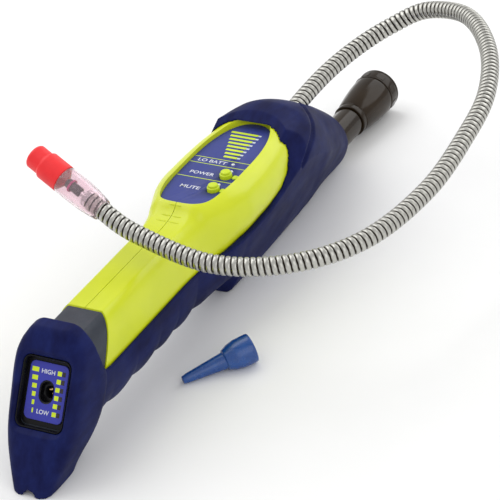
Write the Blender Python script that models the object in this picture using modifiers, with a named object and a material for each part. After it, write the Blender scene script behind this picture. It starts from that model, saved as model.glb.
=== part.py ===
"""Portable gas leak detector with a gooseneck probe, a rubber boot and a clipped-in flashlight.

Run with: blender --background --python part.py
All working sizes are in millimetres and become metres when a mesh is made. The origin is on the
ground under the flashlight pocket, +Z is up, +Y runs back along the body to the flashlight, and
the nose with the level display is at -Y.
"""

import math

import bmesh
import bpy
from mathutils import Matrix, Quaternion, Vector

MM = 0.001
GAP = 0.3
BOOT_FIT = 0.35

# Overall length, as distances forward of the boot's rear end ("stations")
REAR_Y = 90.0
TOE_STATION = 344.5
WALL = 2.2

# Handle and head of the housing
HANDLE_HALF = 15.5
HANDLE_TOP = 65.5
HANDLE_REAR = 181.0
HEAD_HALF = 28.0
HEAD_TOP = 72.0
HANDLE_POWER = 4.2
HEAD_POWER = 3.5
LOWER_POWER = 2.5
NOSE_POWER = 4.4

# Faces that lean back: the seam behind the end cap, and the level display at the nose
SEAM_STATION = 271.0
SEAM_LEAN = math.radians(27)
LEVEL_LEAN = math.radians(32.3)
LEVEL_CENTRE = (314.4, 43.2)
LEVEL_HALF = (11.0, 14.5)
LEVEL_CORNER = 3.0
# Recess in the nose round the level display: height above the label, half width, half length,
# corner radius
RECESS_STEPS = [(-1.55, 14.0, 18.2, 4.5), (3.2, 14.0, 18.2, 4.5), (3.9, 15.0, 19.2, 5.3),
                (6.4, 17.6, 22.0, 7.5), (41.0, 17.6, 22.0, 7.5)]
RECESS_DROP = 0.8
JACK_RECESS = (4.2, 5.9, 3.4)
JACK_BORE = 1.8

# Egg-shaped display
PANEL_STATION = 131.0
PANEL_LENGTH_HALF = 45.0
PANEL_WIDTH_HALF = 18.0
PANEL_TOP = 67.5
PANEL_THICK = 1.2
PANEL_SEAT = PANEL_TOP - PANEL_THICK - 0.3
PANEL_FRONT_POWER = 3.6
PANEL_REAR_POWER = 2.4
LEDGE = 2.0

# Push buttons and indicator lamps (half width offset, station)
BUTTON_X = 9.5
POWER_STATION = 140.5
MUTE_STATION = 154.5
BUTTON_RADIUS = 3.4
BUTTON_TOP = 71.2
LAMP_RADIUS = 1.1
BOARD_TOP = 61.6
BOARD_THICK = 1.6

# Flashlight: a two-cell aluminium penlight size
TORCH_Z = 13.3
TORCH_BARREL_R = 9.0
TORCH_HEAD_R = 12.7
TORCH_HEAD_REAR = 105.5
TORCH_LENGTH = 146.0
TORCH_FRONT = 147.0
POCKET_BORE_R = 9.35
POCKET_DEPTH_STATION = 93.0

# Gooseneck
NECK_R = 5.0
NECK_BORE_R = 4.0
NECK_SEGMENTS = 6
NECK_CONE = math.radians(14)
NECK_ANCHOR_LENGTH = 28.0
NECK_ROUTE = [
    (0, 32, 53), (0, 51, 56), (4, 78, 61), (12, 102, 66), (25, 121, 72), (45, 129, 81),
    (77, 115, 89), (105, 80, 90.5), (121, 41, 87), (125, 4, 82), (124, -43, 76),
    (112, -91, 73), (85, -122, 72), (48, -137, 74), (5, -135, 82), (-16, -131, 89.5),
    (-23, -129.7, 92.9),
]

# Sensor head on the end of the gooseneck
TIP_START = (-16.0, -131.0, 89.5)
TIP_DIRECTION = Vector((-0.893, 0.188, 0.409)).normalized()
SLEEVE_LENGTH = 26.5
SLEEVE_R = 7.65
CAP_LENGTH = 21.6
CAP_STEP = 12.9
CAP_FRONT_R = 6.65

# Loose nozzle lying on the ground
NOZZLE_TIP = (26.0, -144.0, 2.2)
NOZZLE_MOUTH = (51.0, -113.0, 8.05)
NOZZLE_LENGTH = 40.3

RING = 32


# ---------------------------------------------------------------- scene and materials

def clear_scene():
    for item in list(bpy.data.objects):
        bpy.data.objects.remove(item, do_unlink=True)


def new_collection(name):
    collection = bpy.data.collections.new(name)
    bpy.context.scene.collection.children.link(collection)
    return collection


def make_material(name, colour, roughness, metallic=0.0, alpha=1.0):
    material = bpy.data.materials.new(name)
    material.use_nodes = True
    shader = material.node_tree.nodes["Principled BSDF"]
    shader.inputs["Base Color"].default_value = (*colour, 1.0)
    shader.inputs["Roughness"].default_value = roughness
    shader.inputs["Metallic"].default_value = metallic
    shader.inputs["Alpha"].default_value = alpha
    return material


clear_scene()
PARTS = new_collection("portable_gas_detector")
CUTTERS = new_collection("cutters")

LIME = make_material("lime_plastic", (0.62, 0.72, 0.03), 0.35)
NAVY = make_material("navy_rubber", (0.015, 0.022, 0.10), 0.5)
SLATE = make_material("slate_plastic", (0.06, 0.08, 0.12), 0.45)
LABEL_BLUE = make_material("label_blue", (0.06, 0.09, 0.40), 0.4)
BLACK = make_material("black_plastic", (0.01, 0.01, 0.01), 0.4)
LED_CLEAR = make_material("led_lens", (0.75, 0.80, 0.70), 0.2)
BOARD_GREEN = make_material("board_green", (0.02, 0.20, 0.06), 0.5)
BRASS = make_material("brass", (0.75, 0.52, 0.20), 0.3, 1.0)
STEEL = make_material("steel", (0.65, 0.66, 0.66), 0.28, 1.0)
CELL_WRAP = make_material("cell_wrap", (0.12, 0.12, 0.14), 0.4)
CLEAR = make_material("clear_plastic", (0.95, 0.85, 0.88), 0.08, 0.0, 0.35)
RED = make_material("red_plastic", (0.82, 0.01, 0.02), 0.55)
GREY = make_material("sensor_grey", (0.10, 0.10, 0.11), 0.4)
TORCH_BLACK = make_material("anodised_black", (0.02, 0.015, 0.01), 0.18, 1.0)
MIRROR = make_material("mirror", (0.9, 0.9, 0.9), 0.05, 1.0)
GLASS = make_material("glass", (0.95, 0.95, 0.95), 0.03, 0.0, 0.3)
NOZZLE_BLUE = make_material("nozzle_blue", (0.01, 0.07, 0.32), 0.35)


# ---------------------------------------------------------------- building helpers

def y_at(station):
    return REAR_Y - station


def add_object(name, bm, material, cutter=False):
    bmesh.ops.remove_doubles(bm, verts=bm.verts, dist=1e-6)
    bmesh.ops.recalc_face_normals(bm, faces=bm.faces)
    mesh = bpy.data.meshes.new(name)
    bm.to_mesh(mesh)
    bm.free()
    mesh.shade_smooth()
    mesh.set_sharp_from_angle(angle=math.radians(40))
    item = bpy.data.objects.new(name, mesh)
    if cutter:
        CUTTERS.objects.link(item)
        item.hide_render = True
        item.display_type = "WIRE"
    else:
        PARTS.objects.link(item)
        mesh.materials.append(material)
    return item


def superellipse(angle, power):
    """Unit superellipse point at an angle, 0 at +X and a quarter turn at +Y."""
    c = math.cos(angle)
    s = math.sin(angle)
    x = math.copysign(abs(c) ** (2 / power), c)
    y = math.copysign(abs(s) ** (2 / power), s)
    return x, y


def ring_loft(name, rings, material=None, cutter=False, closed=False):
    """Skin of quads through rings with equal numbers of points, capped unless it closes on itself."""
    bm = bmesh.new()
    grid = [[bm.verts.new(Vector(p) * MM) for p in ring] for ring in rings]
    pairs = list(zip(grid, grid[1:]))
    if closed:
        pairs.append((grid[-1], grid[0]))
    for first, second in pairs:
        for i in range(len(first)):
            j = (i + 1) % len(first)
            bm.faces.new((first[i], first[j], second[j], second[i]))
    if not closed:
        bm.faces.new(list(reversed(grid[0])))
        bm.faces.new(grid[-1])
    bmesh.ops.triangulate(bm, faces=bm.faces)
    return add_object(name, bm, material, cutter)


def box(name, size, centre, material=None, cutter=False, rotation=None, bevel=0.0):
    bm = bmesh.new()
    bmesh.ops.create_cube(bm, size=1.0)
    bmesh.ops.scale(bm, vec=Vector(size) * MM, verts=bm.verts)
    item = add_object(name, bm, material, cutter)
    item.location = Vector(centre) * MM
    if rotation is not None:
        item.rotation_mode = "QUATERNION"
        item.rotation_quaternion = rotation
    if bevel:
        edge = item.modifiers.new("rounded_edges", "BEVEL")
        edge.width = bevel * MM
        edge.segments = 2
    return item


def turned(name, profile, start, direction, material=None, cutter=False, steps=18, loop=False):
    """Turned body. Profile points are (radius, distance from start along direction), listed from
    the far end down the outer side to the near end."""
    bm = bmesh.new()
    verts = [bm.verts.new((radius * MM, 0, along * MM)) for radius, along in profile]
    edges = list(zip(verts, verts[1:]))
    if loop:
        edges.append((verts[-1], verts[0]))
    for pair in edges:
        bm.edges.new(pair)
    mesh = bpy.data.meshes.new(name)
    bm.to_mesh(mesh)
    bm.free()
    item = bpy.data.objects.new(name, mesh)
    screw = item.modifiers.new("turn", "SCREW")
    screw.axis = "Z"
    screw.steps = steps
    screw.render_steps = steps
    screw.use_merge_vertices = True
    screw.merge_threshold = 0.00005
    item.rotation_mode = "QUATERNION"
    item.rotation_quaternion = Vector(direction).to_track_quat("Z", "Y")
    item.location = Vector(start) * MM
    if cutter:
        CUTTERS.objects.link(item)
        item.hide_render = True
        item.display_type = "WIRE"
    else:
        PARTS.objects.link(item)
        mesh.materials.append(material)
        screw.use_smooth_shade = True
    return item


def rod(name, radius, length, start, direction, material=None, cutter=False, steps=18):
    profile = [(0, length), (radius, length), (radius, 0), (0, 0)]
    return turned(name, profile, start, direction, material, cutter, steps)


def boolean(item, cutter, operation="DIFFERENCE"):
    step = item.modifiers.new(operation.lower(), "BOOLEAN")
    step.operation = operation
    step.solver = "EXACT"
    step.object = cutter
    return item


def outline_plate(name, outline, low, high, material=None, cutter=False, place=None):
    """Flat outline of (x, y) points made solid between two heights, then placed by a matrix."""
    place = place or Matrix.Identity(4)
    rings = [[place @ Vector((x, y, level)) for x, y in outline] for level in (low, high)]
    return ring_loft(name, rings, material, cutter)


# ---------------------------------------------------------------- body sections

# station, half width, widest height, top, bottom, upper power, narrowing towards the bottom
HOUSING_SECTIONS = [
    (74.0, 13.0, 50.0, 60.0, 38.0, 2.6, 0.10),
    (80.0, 19.0, 50.0, 66.0, 32.0, 2.9, 0.20),
    (86.0, 21.7, 50.0, 70.2, 28.0, 3.2, 0.30),
    (92.0, 23.4, 50.0, 71.7, 27.0, HEAD_POWER, 0.36),
    (102.0, 25.5, 50.0, HEAD_TOP, 26.5, HEAD_POWER, 0.40),
    (116.0, 27.3, 50.0, HEAD_TOP, 26.5, HEAD_POWER, 0.40),
    (131.0, HEAD_HALF, 50.0, HEAD_TOP, 26.5, HEAD_POWER, 0.40),
    (146.0, HEAD_HALF, 50.0, HEAD_TOP, 26.0, HEAD_POWER, 0.40),
    (158.0, 25.7, 50.0, 71.9, 24.0, HEAD_POWER, 0.36),
    (167.0, 22.6, 49.0, 71.7, 21.0, HEAD_POWER, 0.27),
    (174.0, 19.8, 48.0, 71.5, 19.4, HEAD_POWER, 0.17),
    (177.2, 18.7, 47.0, 70.8, 18.6, 3.6, 0.13),
    (179.6, 18.0, 46.5, 68.6, 18.0, 3.8, 0.10),
    (182.5, 17.4, 46.0, 67.0, 17.3, 4.0, 0.06),
    (188.0, 16.5, 45.0, 65.9, 16.4, HANDLE_POWER, 0.03),
    (196.0, 15.9, 44.0, 65.3, 15.8, HANDLE_POWER, 0.0),
    (208.0, HANDLE_HALF, 43.0, HANDLE_TOP, 15.5, HANDLE_POWER, 0.0),
    (340.0, HANDLE_HALF, 43.0, HANDLE_TOP, 15.5, HANDLE_POWER, 0.0),
]


def housing_ring(section, offset):
    station, half, middle, top, bottom, power, taper = section
    ring = []
    for i in range(RING):
        angle = 2 * math.pi * i / RING
        upper = math.sin(angle) >= 0
        x, z = superellipse(angle, power if upper else LOWER_POWER)
        reach = (top - middle) if upper else (middle - bottom)
        narrow = 1 if upper else 1 + taper * z
        ring.append(((half + offset) * x * narrow, y_at(station), middle + (reach + offset) * z))
    return ring


def housing_envelope(name, offset, cutter=True, ends=0.0):
    rings = [housing_ring(section, offset) for section in HOUSING_SECTIONS]
    first = [(x, y + ends, z) for x, y, z in rings[0]]
    return ring_loft(name, [first] + rings[1:], LIME, cutter)


def leaning_place(station, height, lean):
    """Frame on a leaning face: X to the right, Y up along the face, Z out towards the nose."""
    up = Vector((0, math.sin(lean), math.cos(lean)))
    out = Vector((0, -math.cos(lean), math.sin(lean)))
    right = up.cross(out)
    rotation = Matrix((right, up, out)).transposed().to_4x4()
    return Matrix.Translation((0, y_at(station), height)) @ rotation


LEVEL_PLACE = leaning_place(*LEVEL_CENTRE, LEVEL_LEAN)
SEAM_PLACE = leaning_place(SEAM_STATION, HANDLE_TOP, SEAM_LEAN)


def leaning_block(name, place, low, high, half=120.0):
    corners = [(-half, -half), (half, -half), (half, half), (-half, half)]
    return outline_plate(name, corners, low, high, cutter=True, place=place)


def rounded_rectangle(half_x, half_y, corner, steps=4):
    points = []
    for turn, (sx, sy) in enumerate(((1, 1), (-1, 1), (-1, -1), (1, -1))):
        for k in range(steps + 1):
            angle = math.radians(90 * turn + 90 * k / steps)
            x = sx * (half_x - corner) + corner * math.cos(angle)
            y = sy * (half_y - corner) + corner * math.sin(angle)
            points.append((x, y))
    return points


def egg_outline(inset, count=40):
    points = []
    for i in range(count):
        angle = 2 * math.pi * i / count
        forward = math.sin(angle) < 0
        power = PANEL_FRONT_POWER if forward else PANEL_REAR_POWER
        x, y = superellipse(angle, power)
        points.append(((PANEL_WIDTH_HALF - inset) * x,
                       y_at(PANEL_STATION) + (PANEL_LENGTH_HALF - inset) * y))
    return points


# ---------------------------------------------------------------- housing halves

# station, height, boss length
SCREW_SPOTS = [(99.3, 38.0, 15.6), (165.3, 33.0, 14.2)]
SCREW_SHANK_R = 1.3
BOSS_R = 3.6


def housing_half(side):
    """One moulded half: outer skin less the hollow, cut at the mid-plane and at the nose seam."""
    name = "housing_right" if side > 0 else "housing_left"
    shell = housing_envelope(name, 0.0, cutter=False)
    hollow = []
    for station, half, middle, top, bottom, power, taper in HOUSING_SECTIONS:
        roof = min(top, PANEL_SEAT + WALL - 2.0) if station < HANDLE_REAR else top
        hollow.append(housing_ring((station, half, middle, roof, bottom, power, taper), -WALL))
    hollow[0] = [(x, y - WALL, z) for x, y, z in hollow[0]]
    hollow[-1] = [(x, y - 1.0, z) for x, y, z in hollow[-1]]
    inner = ring_loft(name + "_hollow", hollow, cutter=True)
    boolean(shell, inner)
    other = box(name + "_half", (120, 600, 300), (-side * (60 - GAP / 2), 0, 0), cutter=True)
    boolean(shell, other)
    nose = leaning_block(name + "_seam", SEAM_PLACE, 0.0, 200.0)
    boolean(shell, nose)
    for index, (station, height, reach) in enumerate(SCREW_SPOTS):
        start = (side * (GAP / 2 + 0.05), y_at(station), height)
        boss = rod(f"{name}_boss_{index}", BOSS_R, reach, start, (side, 0, 0), cutter=True, steps=12)
        boolean(shell, boss, "UNION")
        hole_start = (-side * 1.0, y_at(station), height)
        hole = rod(f"{name}_hole_{index}", SCREW_SHANK_R + GAP, 40, hole_start, (side, 0, 0),
                   cutter=True, steps=12)
        boolean(shell, hole)
    seat = outline_plate(name + "_seat", egg_outline(0.0), PANEL_SEAT, 90,
                         cutter=True)
    boolean(shell, seat)
    window = outline_plate(name + "_window", egg_outline(LEDGE), 55, 90, cutter=True)
    boolean(shell, window)
    return shell


def housing_screws():
    length = 18.0
    for index, (station, height, _) in enumerate(SCREW_SPOTS):
        profile = [(0, length), (SCREW_SHANK_R, length - 1), (SCREW_SHANK_R, 0), (0, 0)]
        turned(f"housing_screw_{index + 1}", profile, (-length / 2, y_at(station), height),
               (1, 0, 0), STEEL, steps=12)


# ---------------------------------------------------------------- end cap with the level display

def end_cap():
    """Plug between the handle and the nose: it carries the level display and the jack."""
    sections = [(205.0,) + HOUSING_SECTIONS[-2][1:], HOUSING_SECTIONS[-1]]
    rings = [housing_ring(section, -0.5) for section in sections]
    body = ring_loft("end_cap", rings, SLATE)
    boolean(body, leaning_block("end_cap_rear", SEAM_PLACE, -200.0, GAP))
    boolean(body, leaning_block("end_cap_front", LEVEL_PLACE, -1.2, 200.0))
    hole = outline_plate("end_cap_socket", rounded_rectangle(JACK_RECESS[0] + 0.4, JACK_RECESS[1] + 0.4, 4.2),
                         -16, 5, cutter=True, place=LEVEL_PLACE)
    boolean(body, hole)
    leds = outline_plate("end_cap_led_slot", [(5.2, -13.6), (10.4, -13.6), (10.4, 13.6), (5.2, 13.6)],
                         -5.2, 5, cutter=True, place=LEVEL_PLACE)
    boolean(body, leds)
    return body


def level_label():
    plate = outline_plate("level_label", rounded_rectangle(*LEVEL_HALF, LEVEL_CORNER), -0.8, 0.0,
                          LABEL_BLUE, place=LEVEL_PLACE)
    hole = outline_plate("level_label_hole", rounded_rectangle(JACK_RECESS[0], JACK_RECESS[1], 4.1),
                         -3, 3, cutter=True, place=LEVEL_PLACE)
    boolean(plate, hole)


def level_led_strip():
    outline_plate("level_led_strip", [(5.6, -13.2), (10.0, -13.2), (10.0, 13.2), (5.6, 13.2)],
                  -4.8, -1.1, LED_CLEAR, place=LEVEL_PLACE)


def jack():
    """Socket body behind the oval hole, with its bore and its spring contact."""
    outer = rounded_rectangle(JACK_RECESS[0], JACK_RECESS[1], 4.1)
    body = outline_plate("jack_socket", outer, -15, -JACK_RECESS[2] - 0.8, BLACK, place=LEVEL_PLACE)
    normal = LEVEL_PLACE.to_3x3() @ Vector((0, 0, 1))
    centre = LEVEL_PLACE.translation
    bore = rod("jack_bore", JACK_BORE, 11, centre - normal * 12, normal, cutter=True, steps=16)
    boolean(body, bore)
    outline_plate("jack_contact", [(-0.5, 1.0), (0.5, 1.0), (0.5, 1.5), (-0.5, 1.5)],
                  -10.5, -3.8, BRASS, place=LEVEL_PLACE)


# ---------------------------------------------------------------- display, buttons and board

def display_panel():
    plate = outline_plate("display_panel", egg_outline(GAP), PANEL_TOP - PANEL_THICK, PANEL_TOP,
                          LABEL_BLUE)
    for station in (POWER_STATION, MUTE_STATION):
        hole = rod("button_hole", BUTTON_RADIUS + GAP, 20, (BUTTON_X, y_at(station), 60), (0, 0, 1),
                   cutter=True)
        boolean(plate, hole)
    for x, station in LAMP_SPOTS.values():
        hole = rod("lamp_hole", LAMP_RADIUS + GAP, 20, (x, y_at(station), 60), (0, 0, 1),
                   cutter=True, steps=12)
        boolean(plate, hole)


LAMP_SPOTS = {
    "low_battery_lamp": (7.0, 128.0),
    "power_lamp": (BUTTON_X, POWER_STATION - 5.8),
    "mute_lamp": (BUTTON_X, MUTE_STATION - 5.8),
}


def lamps():
    for name, (x, station) in LAMP_SPOTS.items():
        profile = [(0, 5.9), (0.7, 5.7), (LAMP_RADIUS, 5.0), (LAMP_RADIUS, 0), (0, 0)]
        turned(name, profile, (x, y_at(station), BOARD_TOP + GAP), (0, 0, 1), LED_CLEAR, steps=12)


def push_button(name, station):
    """Domed cap on a stem that stands just above its switch."""
    low = BOARD_TOP + 2.0
    high = BUTTON_TOP - low
    profile = [(0, high), (1.6, high - 0.1), (2.6, high - 0.5), (3.2, high - 1.3),
               (BUTTON_RADIUS, high - 2.4), (BUTTON_RADIUS, 0.0), (0, 0.0)]
    turned(name, profile, (BUTTON_X, y_at(station), low), (0, 0, 1), LIME)


def switches():
    for name, station in (("power_switch", POWER_STATION), ("mute_switch", MUTE_STATION)):
        box(name, (6, 6, 0.7), (BUTTON_X, y_at(station), BOARD_TOP + GAP + 0.35), BLACK)


def electronics():
    middle = 131.5
    box("circuit_board", (28, 71, BOARD_THICK), (0, y_at(middle), BOARD_TOP - BOARD_THICK / 2),
        BOARD_GREEN)
    box("display_led_bar", (5, 27, 3.8), (6.5, y_at(109.5), BOARD_TOP + GAP + 1.9), LED_CLEAR)
    box("microcontroller", (9, 9, 2), (-7, y_at(150), BOARD_TOP + GAP + 1.0), BLACK)
    rod("sounder", 8.0, 6.0, (0, y_at(122), BOARD_TOP - BOARD_THICK - GAP - 6.0), (0, 0, 1), BLACK)


def batteries():
    """Two stacked pairs of cells lie in line along the handle, between two contact plates."""
    length = 50.0
    profile = [(0, length), (2.6, length), (2.6, length - 1), (7.1, length - 1), (7.1, 0), (0, 0)]
    number = 1
    for height in (48.5, 32.5):
        for station in (273.8, 223.4):
            turned(f"battery_cell_{number}", profile, (0, y_at(station), height), (0, 1, 0),
                   CELL_WRAP, steps=16)
            number += 1
    box("rear_contact_plate", (14, 0.6, 32), (0, y_at(172.6), 40.5), STEEL)
    box("front_contact_plate", (14, 0.6, 32), (0, y_at(274.4), 40.5), STEEL)


# ---------------------------------------------------------------- rubber boot

# station, half width, widest height, top, bottom, upper power, lower power, taper
BOOT_REAR = [
    (8.6, 10.9, 15.0, 24.5, 3.6, 2.2, 2.4, 0.08),
    (10.2, 12.4, 15.5, 28.5, 1.8, 2.3, 2.6, 0.22),
    (14.0, 13.9, 17.0, 34.5, -0.2, 2.3, 2.8, 0.34),
    (20.0, 15.6, 19.0, 40.4, -0.6, 2.3, 3.0, 0.46),
    (28.0, 17.9, 23.0, 47.0, -0.6, 2.3, 3.4, 0.56),
    (38.0, 20.7, 28.0, 54.8, -0.6, 2.3, 3.6, 0.60),
    (47.0, 23.2, 32.0, 61.0, -0.6, 2.3, 4.0, 0.61),
    (58.0, 26.1, 37.0, 68.0, -0.6, 2.3, 4.5, 0.61),
    (66.0, 27.7, 42.0, 72.0, -0.6, 2.3, 4.5, 0.61),
    (72.0, 28.6, 45.0, 74.0, -0.6, 2.3, 4.5, 0.60),
    (85.0, 29.8, 49.0, 75.5, -0.6, 2.4, 4.5, 0.60),
    (98.0, 30.4, 50.0, 76.0, -0.6, 2.8, 4.5, 0.59),
    (130.0, 30.6, 50.0, 76.0, -0.6, 3.2, 4.5, 0.58),
    (146.0, 30.4, 50.0, 76.0, -0.6, 3.2, 4.5, 0.58),
    (151.2, 29.7, 50.0, 76.0, -0.6, 3.2, 4.5, 0.58),
    (154.0, 29.1, 50.0, 76.0, 9.0, 3.2, 3.6, 0.42),
    (164.0, 26.0, 49.0, 75.0, 11.3, 3.2, 3.0, 0.22),
    (176.0, 21.4, 46.0, 75.0, 12.0, 3.4, 2.8, 0.08),
    (186.0, 18.8, 44.0, 70.0, 12.1, 3.6, 2.8, 0.02),
]
GRIP_NOTCHES = (193.0, 212.5, 231.5, 255.0, 279.0)
GRIP_HALF = 17.6
GRIP_NOTCH_Z = 12.2
GRIP_LOBE = 2.8


def boot_ring(section):
    station, half, middle, top, bottom, upper_power, lower_power, taper = section
    ring = []
    for i in range(RING):
        angle = 2 * math.pi * i / RING
        if math.sin(angle) >= 0:
            x, z = superellipse(angle, upper_power)
            ring.append((half * x, y_at(station), middle + (top - middle) * z))
        else:
            x, z = superellipse(angle, lower_power)
            narrow = 1 + taper * z
            ring.append((half * x * narrow, y_at(station), middle + (middle - bottom) * z))
    return ring


def grip_sections():
    """Finger grooves: shallow lobes between notches along the underside of the handle."""
    sections = []
    for first, second in zip(GRIP_NOTCHES, GRIP_NOTCHES[1:]):
        for part in (0.0, 0.25, 0.5, 0.75):
            bottom = GRIP_NOTCH_Z - GRIP_LOBE * math.sin(math.pi * part) ** 0.8
            station = first + (second - first) * part
            sections.append((station, GRIP_HALF, 43.0, 68.0, bottom, HANDLE_POWER, 2.4, 0.06))
    sections.append((GRIP_NOTCHES[-1], GRIP_HALF, 43.0, 68.0, GRIP_NOTCH_Z, HANDLE_POWER, 2.4, 0.06))
    sections.append((300.0, GRIP_HALF, 43.0, 68.0, 11.0, HANDLE_POWER, 2.4, 0.06))
    return sections


# height, half width, rear station, front station
NOSE_LEVELS = [
    (-0.6, 11.0, 314.0, 343.9),
    (3.0, 12.0, 311.5, 342.9),
    (8.0, 13.8, 306.5, 340.8),
    (14.0, 16.2, 298.5, 337.9),
    (22.0, 18.6, 291.5, 333.9),
    (30.0, 19.9, 287.0, 329.4),
    (40.0, 20.4, 284.0, 323.2),
    (50.0, 20.4, 286.0, 317.0),
    (58.0, 19.8, 288.0, 311.8),
    (63.5, 18.0, 289.4, 307.8),
    (68.0, 15.0, 290.6, 304.8),
    (70.8, 12.6, 291.8, 302.8),
    (72.4, 9.8, 293.2, 300.8),
]


def nose_block():
    rings = []
    for height, half, rear, front in NOSE_LEVELS:
        ring = []
        for i in range(RING):
            x, along = superellipse(2 * math.pi * i / RING, NOSE_POWER)
            station = (rear + front) / 2 + (front - rear) / 2 * along
            ring.append((half * x, y_at(station), height))
        rings.append(ring)
    return ring_loft("boot_nose", rings, cutter=True)


# Side view of what the boot leaves open above the housing (station, height), where the wall is
# inside and where it is outside: the rim slants down outwards round the head
OPENING_INSIDE = [
    (293.5, 90.0), (293.0, 56.0), (290.0, 46.5), (285.0, 41.0), (278.0, 40.3), (192.0, 40.3),
    (168.0, 40.6), (149.0, 43.2), (130.0, 45.2), (121.0, 50.0), (113.0, 57.0), (104.0, 66.0),
    (94.0, 71.0), (80.0, 78.0), (78.0, 90.0),
]
OPENING_OUTSIDE = [
    (293.5, 90.0), (293.0, 56.0), (290.0, 46.5), (285.0, 41.0), (278.0, 40.3), (192.0, 40.3),
    (168.0, 39.5), (149.0, 41.0), (130.0, 42.0), (121.0, 43.5), (111.0, 46.0), (101.0, 49.5),
    (91.0, 53.0), (79.0, 58.0), (74.0, 90.0),
]
OPENING_STEPS = ((-60.0, OPENING_OUTSIDE), (-31.0, OPENING_OUTSIDE), (-21.0, OPENING_INSIDE),
                 (21.0, OPENING_INSIDE), (31.0, OPENING_OUTSIDE), (60.0, OPENING_OUTSIDE))


def opening_cutter():
    rings = []
    for x, outline in OPENING_STEPS:
        rings.append([(x, y_at(station), height) for station, height in outline])
    return ring_loft("boot_opening", rings, cutter=True)


def recess_cutter():
    rings = []
    for level, half_x, half_y, corner in RECESS_STEPS:
        outline = rounded_rectangle(half_x, half_y, corner)
        rings.append([LEVEL_PLACE @ Vector((x, y - RECESS_DROP, level)) for x, y in outline])
    return ring_loft("boot_recess", rings, cutter=True)


def protective_boot():
    """Rubber boot in one moulding: nose hood, finger grip, head wrap and flashlight pocket."""
    rings = [boot_ring(section) for section in BOOT_REAR + grip_sections()]
    body = ring_loft("protective_boot", rings, NAVY)
    boolean(body, nose_block(), "UNION")
    boolean(body, box("ground", (200, 600, 40), (0, 0, -20), cutter=True))
    fit = housing_envelope("boot_fit", BOOT_FIT, cutter=True, ends=0.5)
    boolean(fit, leaning_block("boot_fit_front", LEVEL_PLACE, -1.2, 200.0))
    boolean(body, fit)
    boolean(body, opening_cutter())
    boolean(body, recess_cutter())
    pocket = rod("pocket_bore", POCKET_BORE_R, POCKET_DEPTH_STATION + 20,
                 (0, y_at(POCKET_DEPTH_STATION), TORCH_Z), (0, 1, 0), cutter=True, steps=32)
    boolean(body, pocket)
    route = neck_path()
    socket = neck_tube("neck_socket", route, 0.0, 60.0, NECK_R + GAP + 0.1, cutter=True)
    boolean(body, socket)
    toe_notch = turned("toe_notch", [(0, 30), (3.6, 30), (3.6, 0), (0, 0)],
                       (0, y_at(TOE_STATION + 12), -0.6), (0, 1, 0), cutter=True, steps=16)
    boolean(body, toe_notch)
    return body


# ---------------------------------------------------------------- gooseneck

def neck_path(samples=24):
    """Smooth curve through the route's points, as a list of close points in millimetres."""
    points = [Vector(p) for p in NECK_ROUTE]
    padded = [2 * points[0] - points[1]] + points + [2 * points[-1] - points[-2]]
    curve = []
    for a, b, c, d in zip(padded, padded[1:], padded[2:], padded[3:]):
        for k in range(samples):
            t = k / samples
            curve.append(0.5 * ((2 * b) + (c - a) * t + (2 * a - 5 * b + 4 * c - d) * t ** 2
                                + (3 * b - a - 3 * c + d) * t ** 3))
    curve.append(points[-1])
    return curve


def walk(curve, distance):
    """Point and tangent at a distance along a list of close points."""
    travelled = 0.0
    for a, b in zip(curve, curve[1:]):
        step = (b - a).length
        if travelled + step >= distance:
            return a.lerp(b, (distance - travelled) / step), (b - a).normalized()
        travelled += step
    return curve[-1].copy(), (curve[-1] - curve[-2]).normalized()


def curve_length(curve):
    return sum((b - a).length for a, b in zip(curve, curve[1:]))


def neck_ring(curve, distance, radius, count=10):
    point, tangent = walk(curve, distance)
    side = tangent.cross(Vector((0, 0, 1))).normalized()
    up = side.cross(tangent)
    ring = []
    for i in range(count):
        angle = 2 * math.pi * i / count
        ring.append(point + side * radius * math.cos(angle) + up * radius * math.sin(angle))
    return ring


def neck_tube(name, curve, start, end, radius, cutter=False):
    count = max(3, int((end - start) / 7))
    rings = [neck_ring(curve, start + (end - start) * i / count, radius, 16)
             for i in range(count + 1)]
    return ring_loft(name, rings, STEEL, cutter)


def neck_segment(name, curve, start, end):
    """Hose length with a bore and coned ends, so that it can tilt about the pivot at either end."""
    rim = NECK_R * math.tan(NECK_CONE) + GAP / 2
    lip = NECK_BORE_R * math.tan(NECK_CONE) + GAP / 2
    outer = 7
    inner = 5
    rings = [neck_ring(curve, start + rim + (end - start - 2 * rim) * i / outer, NECK_R)
             for i in range(outer + 1)]
    rings += [neck_ring(curve, end - lip - (end - start - 2 * lip) * i / inner, NECK_BORE_R)
              for i in range(inner + 1)]
    return ring_loft(name, rings, STEEL, closed=True)


def gooseneck():
    curve = neck_path()
    anchor_end = NECK_ANCHOR_LENGTH
    neck_segment("neck_anchor", curve, 0.5, anchor_end)
    total = curve_length(curve)
    length = (total - anchor_end) / NECK_SEGMENTS
    for index in range(NECK_SEGMENTS):
        start = anchor_end + length * index
        neck_segment(f"neck_segment_{index + 1}", curve, start, start + length)


# ---------------------------------------------------------------- sensor head

def tip_point(along):
    return Vector(TIP_START) + TIP_DIRECTION * along


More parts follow.
